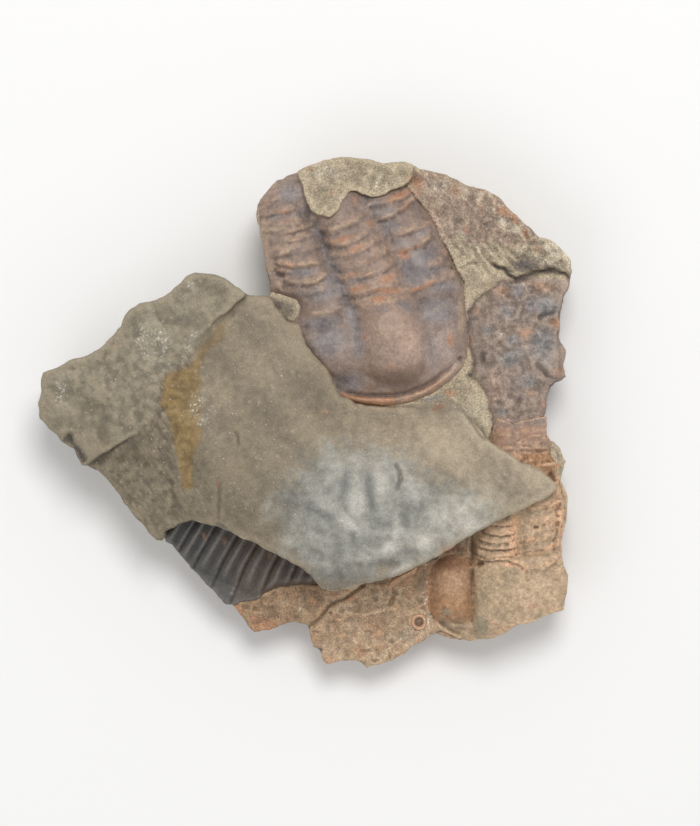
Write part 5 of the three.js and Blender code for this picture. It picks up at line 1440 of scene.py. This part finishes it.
def rust_material():
    s = Shader("rust_cast")
    large = s.noise(5, 3, 0.5)
    patches = s.noise(2.2, 4, 0.6)
    blotches = s.noise(0.9, 3, 0.6)
    grain = s.noise(0.38, 3, 0.7)
    fine = s.noise(0.19, 2, 0.6)
    relief = s.mask("relief")
    colour = s.mix(patches.rise(0.34, 0.66), (0.45, 0.322, 0.203), (0.56, 0.41, 0.268))
    colour = s.mix(s.mask("cheek") * 0.9, colour, (0.42, 0.25, 0.148))
    colour = s.mix(s.mask("brown") * 0.75, colour, (0.29, 0.208, 0.13))
    colour = s.mix(s.mask("front") * 0.8, colour, (0.43, 0.313, 0.196))
    colour = s.mix(s.mask("front") * large.rise(0.5, 0.62) * 0.6, colour, (0.325, 0.25, 0.158))
    colour = s.mix(s.mask("front") * large.rise(0.48, 0.36) * 0.6, colour, (0.54, 0.365, 0.238))
    colour = s.mix(s.mask("lobes") * 0.45, colour, (0.4, 0.303, 0.198))
    far = s.mix(patches.rise(0.4, 0.6), (0.295, 0.193, 0.145), (0.375, 0.24, 0.178))
    colour = s.mix(s.mask("far") * 0.9, colour, far)
    colour = s.mix(s.mask("rings") * 0.6, colour, (0.55, 0.41, 0.27))
    deep = s.mix(patches.rise(0.36, 0.64), (0.19, 0.155, 0.142), (0.285, 0.215, 0.175))
    colour = s.mix(s.patch("deep", blotches, 0.6, 0.1, 0.9), colour, deep)
    colour = s.mix(s.mask("ochre") * 0.8, colour, (0.36, 0.185, 0.082))
    colour = s.mix(s.patch("red", blotches, 0.6, 0.15, 0.95) * 0.6, colour, (0.38, 0.2, 0.125))
    colour = s.mix(s.patch("olive", blotches, 0.5, 0.15, 0.9) * 0.75, colour, (0.25, 0.217, 0.15))
    # Painted highlight along the crests, partly the shell's orange, and painted shadow under the front edges.
    colour = s.mix(s.mask("crest") * blotches.rise(0.25, 0.6) * 0.6, colour, (0.66, 0.42, 0.262))
    colour = s.mix(s.mask("under") * blotches.rise(0.8, 0.4) * 0.65, colour, (0.155, 0.095, 0.058))
    # Painted highlights on edges and crests, and a few bright grains.
    colour = s.mix(s.patch("bright", blotches, 0.7, 0.15, 0.9) * 0.8, colour, (0.68, 0.4, 0.245))
    # Painted shade in furrows, holes and under edges, and some dark spots.
    colour = s.mix(s.patch("dark", blotches, 0.4, 0.15, 0.95) * 0.7, colour, (0.115, 0.067, 0.042))
    # Painted shade in furrows and painted highlight on crests.
    colour = s.mix(relief.rise(0.45, 0.1) * 0.65, colour, (0.11, 0.062, 0.038))
    colour = s.mix(relief.rise(0.56, 0.95) * 0.5, colour, (0.72, 0.48, 0.3))
    colour = s.vary(colour, grain, 0.5, 0.28, 0.72)
    colour = s.vary(colour, blotches, 0.35)
    glints = s.cells(0.6).rise(0.18, 0.07) * s.noise(1.8, 2).rise(0.5, 0.6)
    colour = s.mix(glints * 0.7, colour, (0.75, 0.55, 0.38))
    normal = s.bump(blotches, 0.12, 0.5)
    normal = s.bump(grain, 0.14, 0.8, normal)
    normal = s.bump(fine, 0.04, 0.5, normal)
    return s.finish(colour, grain.rise(0.2, 0.8) * 0.25 + 0.5, normal)


RIB_BUFF = [
    (-17.4, -20.8, 0.4, 1.2, 20, 1), (-14, -21.6, 0.5, 1.2, 15, 0.9), (-6.2, -24.2, 0.6, 0.8, 0, 0.8),
    (-11.2, -22.4, 0.3, 0.6, 0, 0.6),
]
RIB_WHITE = [
    (-12.7, -30.7, 0.3, 0.25, 0, 1), (-12.2, -29.6, 0.25, 0.9, -25, 0.5), (-2.2, -26.6, 0.3, 0.3, 0, 0.6),
    (-8, -31.4, 0.25, 0.5, 0, 0.7),
]


def mark_lower_left(piece):
    x, y, _ = coordinates(piece)
    add_mask(piece, "brown", smooth(-17, -8, x))
    add_mask(piece, "buff", spots(RIB_BUFF, x, y))
    add_mask(piece, "white", spots(RIB_WHITE, x, y))
    add_relief(piece, "relief", 14, 0.1)
    add_relief(piece, "swell", 70, 0.3)


def slate_material():
    s = Shader("slate_cast")
    patches = s.noise(2.2, 4, 0.6)
    blotches = s.noise(0.9, 3, 0.6)
    grain = s.noise(0.36, 3, 0.65)
    relief = s.mask("relief")
    swell = s.mask("swell")
    # The fossil's own near-black, which also carries painted shade from the top bed that overhangs it.
    colour = s.mix(s.mask("brown"), (0.062, 0.062, 0.059), (0.096, 0.068, 0.053))
    colour = s.mix(patches.rise(0.5, 0.75) * 0.3, colour, (0.12, 0.094, 0.077))
    # Painted highlight on the rounded ribs, and painted shade between them and in the seams.
    colour = s.mix(swell.rise(0.52, 0.95) * 0.7, colour, (0.15, 0.135, 0.124))
    colour = s.mix(swell.rise(0.48, 0.1) * 0.7, colour, (0.036, 0.03, 0.027))
    colour = s.mix(relief.rise(0.44, 0.1) * 0.6, colour, (0.025, 0.019, 0.016))
    colour = s.mix(s.patch("buff", blotches, 0.5, 0.15, 0.9) * 0.6, colour, (0.2, 0.12, 0.075))
    colour = s.mix(s.mask("white") * blotches.rise(0.35, 0.6) * 0.6, colour, (0.4, 0.37, 0.33))
    colour = s.vary(colour, grain, 0.5, 0.28, 0.72)
    normal = s.bump(blotches, 0.1, 0.4)
    normal = s.bump(grain, 0.09, 0.6, normal)
    return s.finish(colour, grain.rise(0.2, 0.8) * 0.2 + 0.42, normal)


def mark_small(piece):
    x, y, _ = coordinates(piece)
    crest, _, _ = line_distance(SLIVER_CREST, x, y)
    ring = np.hypot(x - OSSICLE[0], y - OSSICLE[1])
    add_mask(piece, "cheek", (crest > 0.6) * (y > -31) * 1.0)
    # Painted highlight along the sliver's crest and on the ring's rim.
    add_mask(piece, "bright", np.maximum(bell(crest, 0.5), bell(ring - 1.05, 0.35)))
    add_mask(piece, "dark", smooth(0.9, 0.6, ring))
    add_relief(piece, "relief", 16, 0.16)


# ---------------------------------------------------------------- mica and grit


def scatter_tree(flake, material):
    """Geometry Nodes that strew a small shape over a surface, turned with it, and keep it real geometry."""
    tree = bpy.data.node_groups.new("strewn_grit", "GeometryNodeTree")
    kinds = [("Surface", "Geometry"), ("Density", "Float"), ("Smallest", "Float"), ("Largest", "Float")]
    for name, kind in [*kinds, ("Seed", "Int")]:
        tree.interface.new_socket(name, in_out="INPUT", socket_type="NodeSocket" + kind)
    tree.interface.new_socket("Grit", in_out="OUTPUT", socket_type="NodeSocketGeometry")
    source = tree.nodes.new("NodeGroupInput")
    points = tree.nodes.new("GeometryNodeDistributePointsOnFaces")
    shape = tree.nodes.new("GeometryNodeObjectInfo")
    shape.inputs["Object"].default_value = flake
    size = tree.nodes.new("FunctionNodeRandomValue")
    spin = tree.nodes.new("FunctionNodeRandomValue")
    spin.data_type = "FLOAT_VECTOR"
    spin.inputs["Max"].default_value = (0.5, 0.5, math.tau)
    turn = tree.nodes.new("FunctionNodeRotateRotation")
    turn.rotation_space = "LOCAL"
    place = tree.nodes.new("GeometryNodeInstanceOnPoints")
    real = tree.nodes.new("GeometryNodeRealizeInstances")
    paint = tree.nodes.new("GeometryNodeSetMaterial")
    paint.inputs["Material"].default_value = material
    sink = tree.nodes.new("NodeGroupOutput")
    wires = [
        (source, "Surface", points, "Mesh"), (source, "Density", points, "Density"),
        (source, "Seed", points, "Seed"), (source, "Smallest", size, 2), (source, "Largest", size, 3),
        (points, "Points", place, "Points"), (points, "Rotation", turn, 0), (spin, "Value", turn, 1),
        (turn, 0, place, "Rotation"), (size, 1, place, "Scale"), (shape, "Geometry", place, "Instance"),
        (place, "Instances", real, "Geometry"), (real, "Geometry", paint, "Geometry"),
        (paint, "Geometry", sink, "Grit"),
    ]
    for start, out, end, into in wires:
        tree.links.new(start.outputs[out], end.inputs[into])
    return tree


def flake_shape():
    """A thin six-sided flake, 1 mm across."""
    rim = [(0.5 * math.cos(math.tau * k / 6), 0.42 * math.sin(math.tau * k / 6)) for k in range(6)]
    points = [(px, py, pz) for pz in (-0.12, 0.12) for px, py in rim]
    faces = [tuple(reversed(range(6))), tuple(range(6, 12))]
    faces += [(k, (k + 1) % 6, 6 + (k + 1) % 6, 6 + k) for k in range(6)]
    mesh = bpy.data.meshes.new("flake")
    mesh.from_pydata([(px * MM, py * MM, pz * MM) for px, py, pz in points], [], faces)
    return bpy.data.objects.new("flake", mesh)


def grit(surface, material):
    """Flakes strewn over a surface, as one mesh."""
    holder = bpy.data.objects.new("grit_holder", surface.data)
    bpy.context.scene.collection.objects.link(holder)
    tree = scatter_tree(flake_shape(), material)
    modifier = holder.modifiers.new("strew", "NODES")
    modifier.node_group = tree
    smallest, largest = GRIT_SIZES
    values = {"Density": GRIT_DENSITY, "Smallest": smallest, "Largest": largest, "Seed": GRIT_SEED}
    for item in tree.interface.items_tree:
        if item.name in values:
            modifier[item.identifier] = values[item.name]
    graph = bpy.context.evaluated_depsgraph_get()
    mesh = bpy.data.meshes.new_from_object(holder.evaluated_get(graph))
    holder.modifiers.clear()
    bpy.data.objects.remove(holder)
    mesh.name = "grit"
    piece = bpy.data.objects.new("grit", mesh)
    bpy.context.scene.collection.objects.link(piece)
    return piece


def upward_part(block):
    """A copy of the block's faces that look up, for strewing."""
    mesh = block.data
    normals = np.empty(len(mesh.polygons) * 3, np.float32)
    mesh.polygons.foreach_get("normal", normals)
    up = np.flatnonzero(normals[2::3] > LOOKS_UP)
    points = coordinates(block).T * MM
    faces = (mesh.polygons[int(k)].vertices[:] for k in up)
    corners = np.array([face for face in faces if len(face) == 3])
    part = bpy.data.meshes.new("upward")
    used, index = np.unique(corners, return_inverse=True)
    part.from_pydata(points[used].tolist(), [], index.reshape(-1, 3).tolist())
    return bpy.data.objects.new("upward", part)


def grit_material():
    s = Shader("mica_grit")
    colour = s.mix(s.noise(1.5, 2).rise(0.4, 0.6), (0.45, 0.38, 0.28), (0.62, 0.58, 0.5))
    return s.finish(colour, s.noise(0.4, 2).rise(0.3, 0.7) * 0.25 + 0.25, s.bump(s.noise(0.2, 2), 0.03, 0.5))


# ---------------------------------------------------------------- stage


def floor():
    mesh = bpy.data.meshes.new("table")
    half = 1.6  # metres
    corners = [(-half, -half, 0), (half, -half, 0), (half, half, 0), (-half, half, 0)]
    mesh.from_pydata(corners, [], [(0, 1, 2, 3)])
    table = bpy.data.objects.new("table", mesh)
    bpy.context.scene.collection.objects.link(table)
    s = Shader("pale_table")
    table.data.materials.append(s.finish((0.86, 0.86, 0.86, 1), 0.8, None))


def area_light(name, position, size, power, colour):
    light = bpy.data.lights.new(name, "AREA")
    light.shape, light.size, light.energy, light.color = "DISK", size, power, colour
    lamp = bpy.data.objects.new(name, light)
    lamp.location = position
    lamp.rotation_euler = (-Vector(position)).to_track_quat("-Z", "Y").to_euler()
    bpy.context.scene.collection.objects.link(lamp)


def lighting():
    area_light("key", (0.07, 0.27, 0.73), 0.3, 3.2, (1, 0.985, 0.965))
    area_light("fill", (-0.35, -0.35, 0.7), 0.6, 0.9, (0.96, 0.98, 1))
    world = bpy.data.worlds.new("sky")
    world.use_nodes = True
    background = world.node_tree.nodes["Background"]
    background.inputs["Color"].default_value = (1, 1, 1, 1)
    background.inputs["Strength"].default_value = 0.56
    bpy.context.scene.world = world
    bpy.context.scene.view_settings.view_transform = "Standard"


VIEW_HEIGHT = 140.4  # height of the view at the fossils' level
VIEW_CENTRE = (7.565, 0.255)
VIEW_LEVEL = 18  # the fossils' level above the table
DISTANCE = 700  # from the fossils' level up to the camera
SENSOR = 36


def camera():
    data = bpy.data.cameras.new("camera")
    data.sensor_width = SENSOR
    data.lens = SENSOR * DISTANCE / VIEW_HEIGHT
    data.clip_start, data.clip_end = 0.05, 10
    eye = bpy.data.objects.new("camera", data)
    eye.location = (VIEW_CENTRE[0] * MM, VIEW_CENTRE[1] * MM, (VIEW_LEVEL + DISTANCE) * MM)
    bpy.context.scene.collection.objects.link(eye)
    bpy.context.scene.camera = eye


# ---------------------------------------------------------------- assembly


def add(piece, node, slot, material=None):
    if material:
        piece.data.materials.append(material)
    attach(piece, "root")
    if node:
        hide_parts(node)


camera()
lighting()
floor()

block = thinned(stone(), STONE_FACES)
mark_stone(block)
add(block, "matrix_block", "matrix_siltstone", stone_material())
mica = grit(upward_part(block), grit_material())
add(mica, None, "matrix_siltstone")

rust = rust_material()
FINISHES = [
    ("trilobite_upper", mark_upper, plum_material(), "plum_cast"),
    ("trilobite_lower_right", mark_lower_right, rust, "rust_cast"),
    ("trilobite_lower_left", mark_lower_left, slate_material(), "slate_cast"),
    ("rim_sliver", mark_small, rust, "rust_cast"),
    ("stalk_ossicle", mark_small, rust, "rust_cast"),
]
for node, mark, material, slot in FINISHES:
    piece = thinned(cast(node), CAST_FACES)
    mark(piece)
    add(piece, node, slot, material)
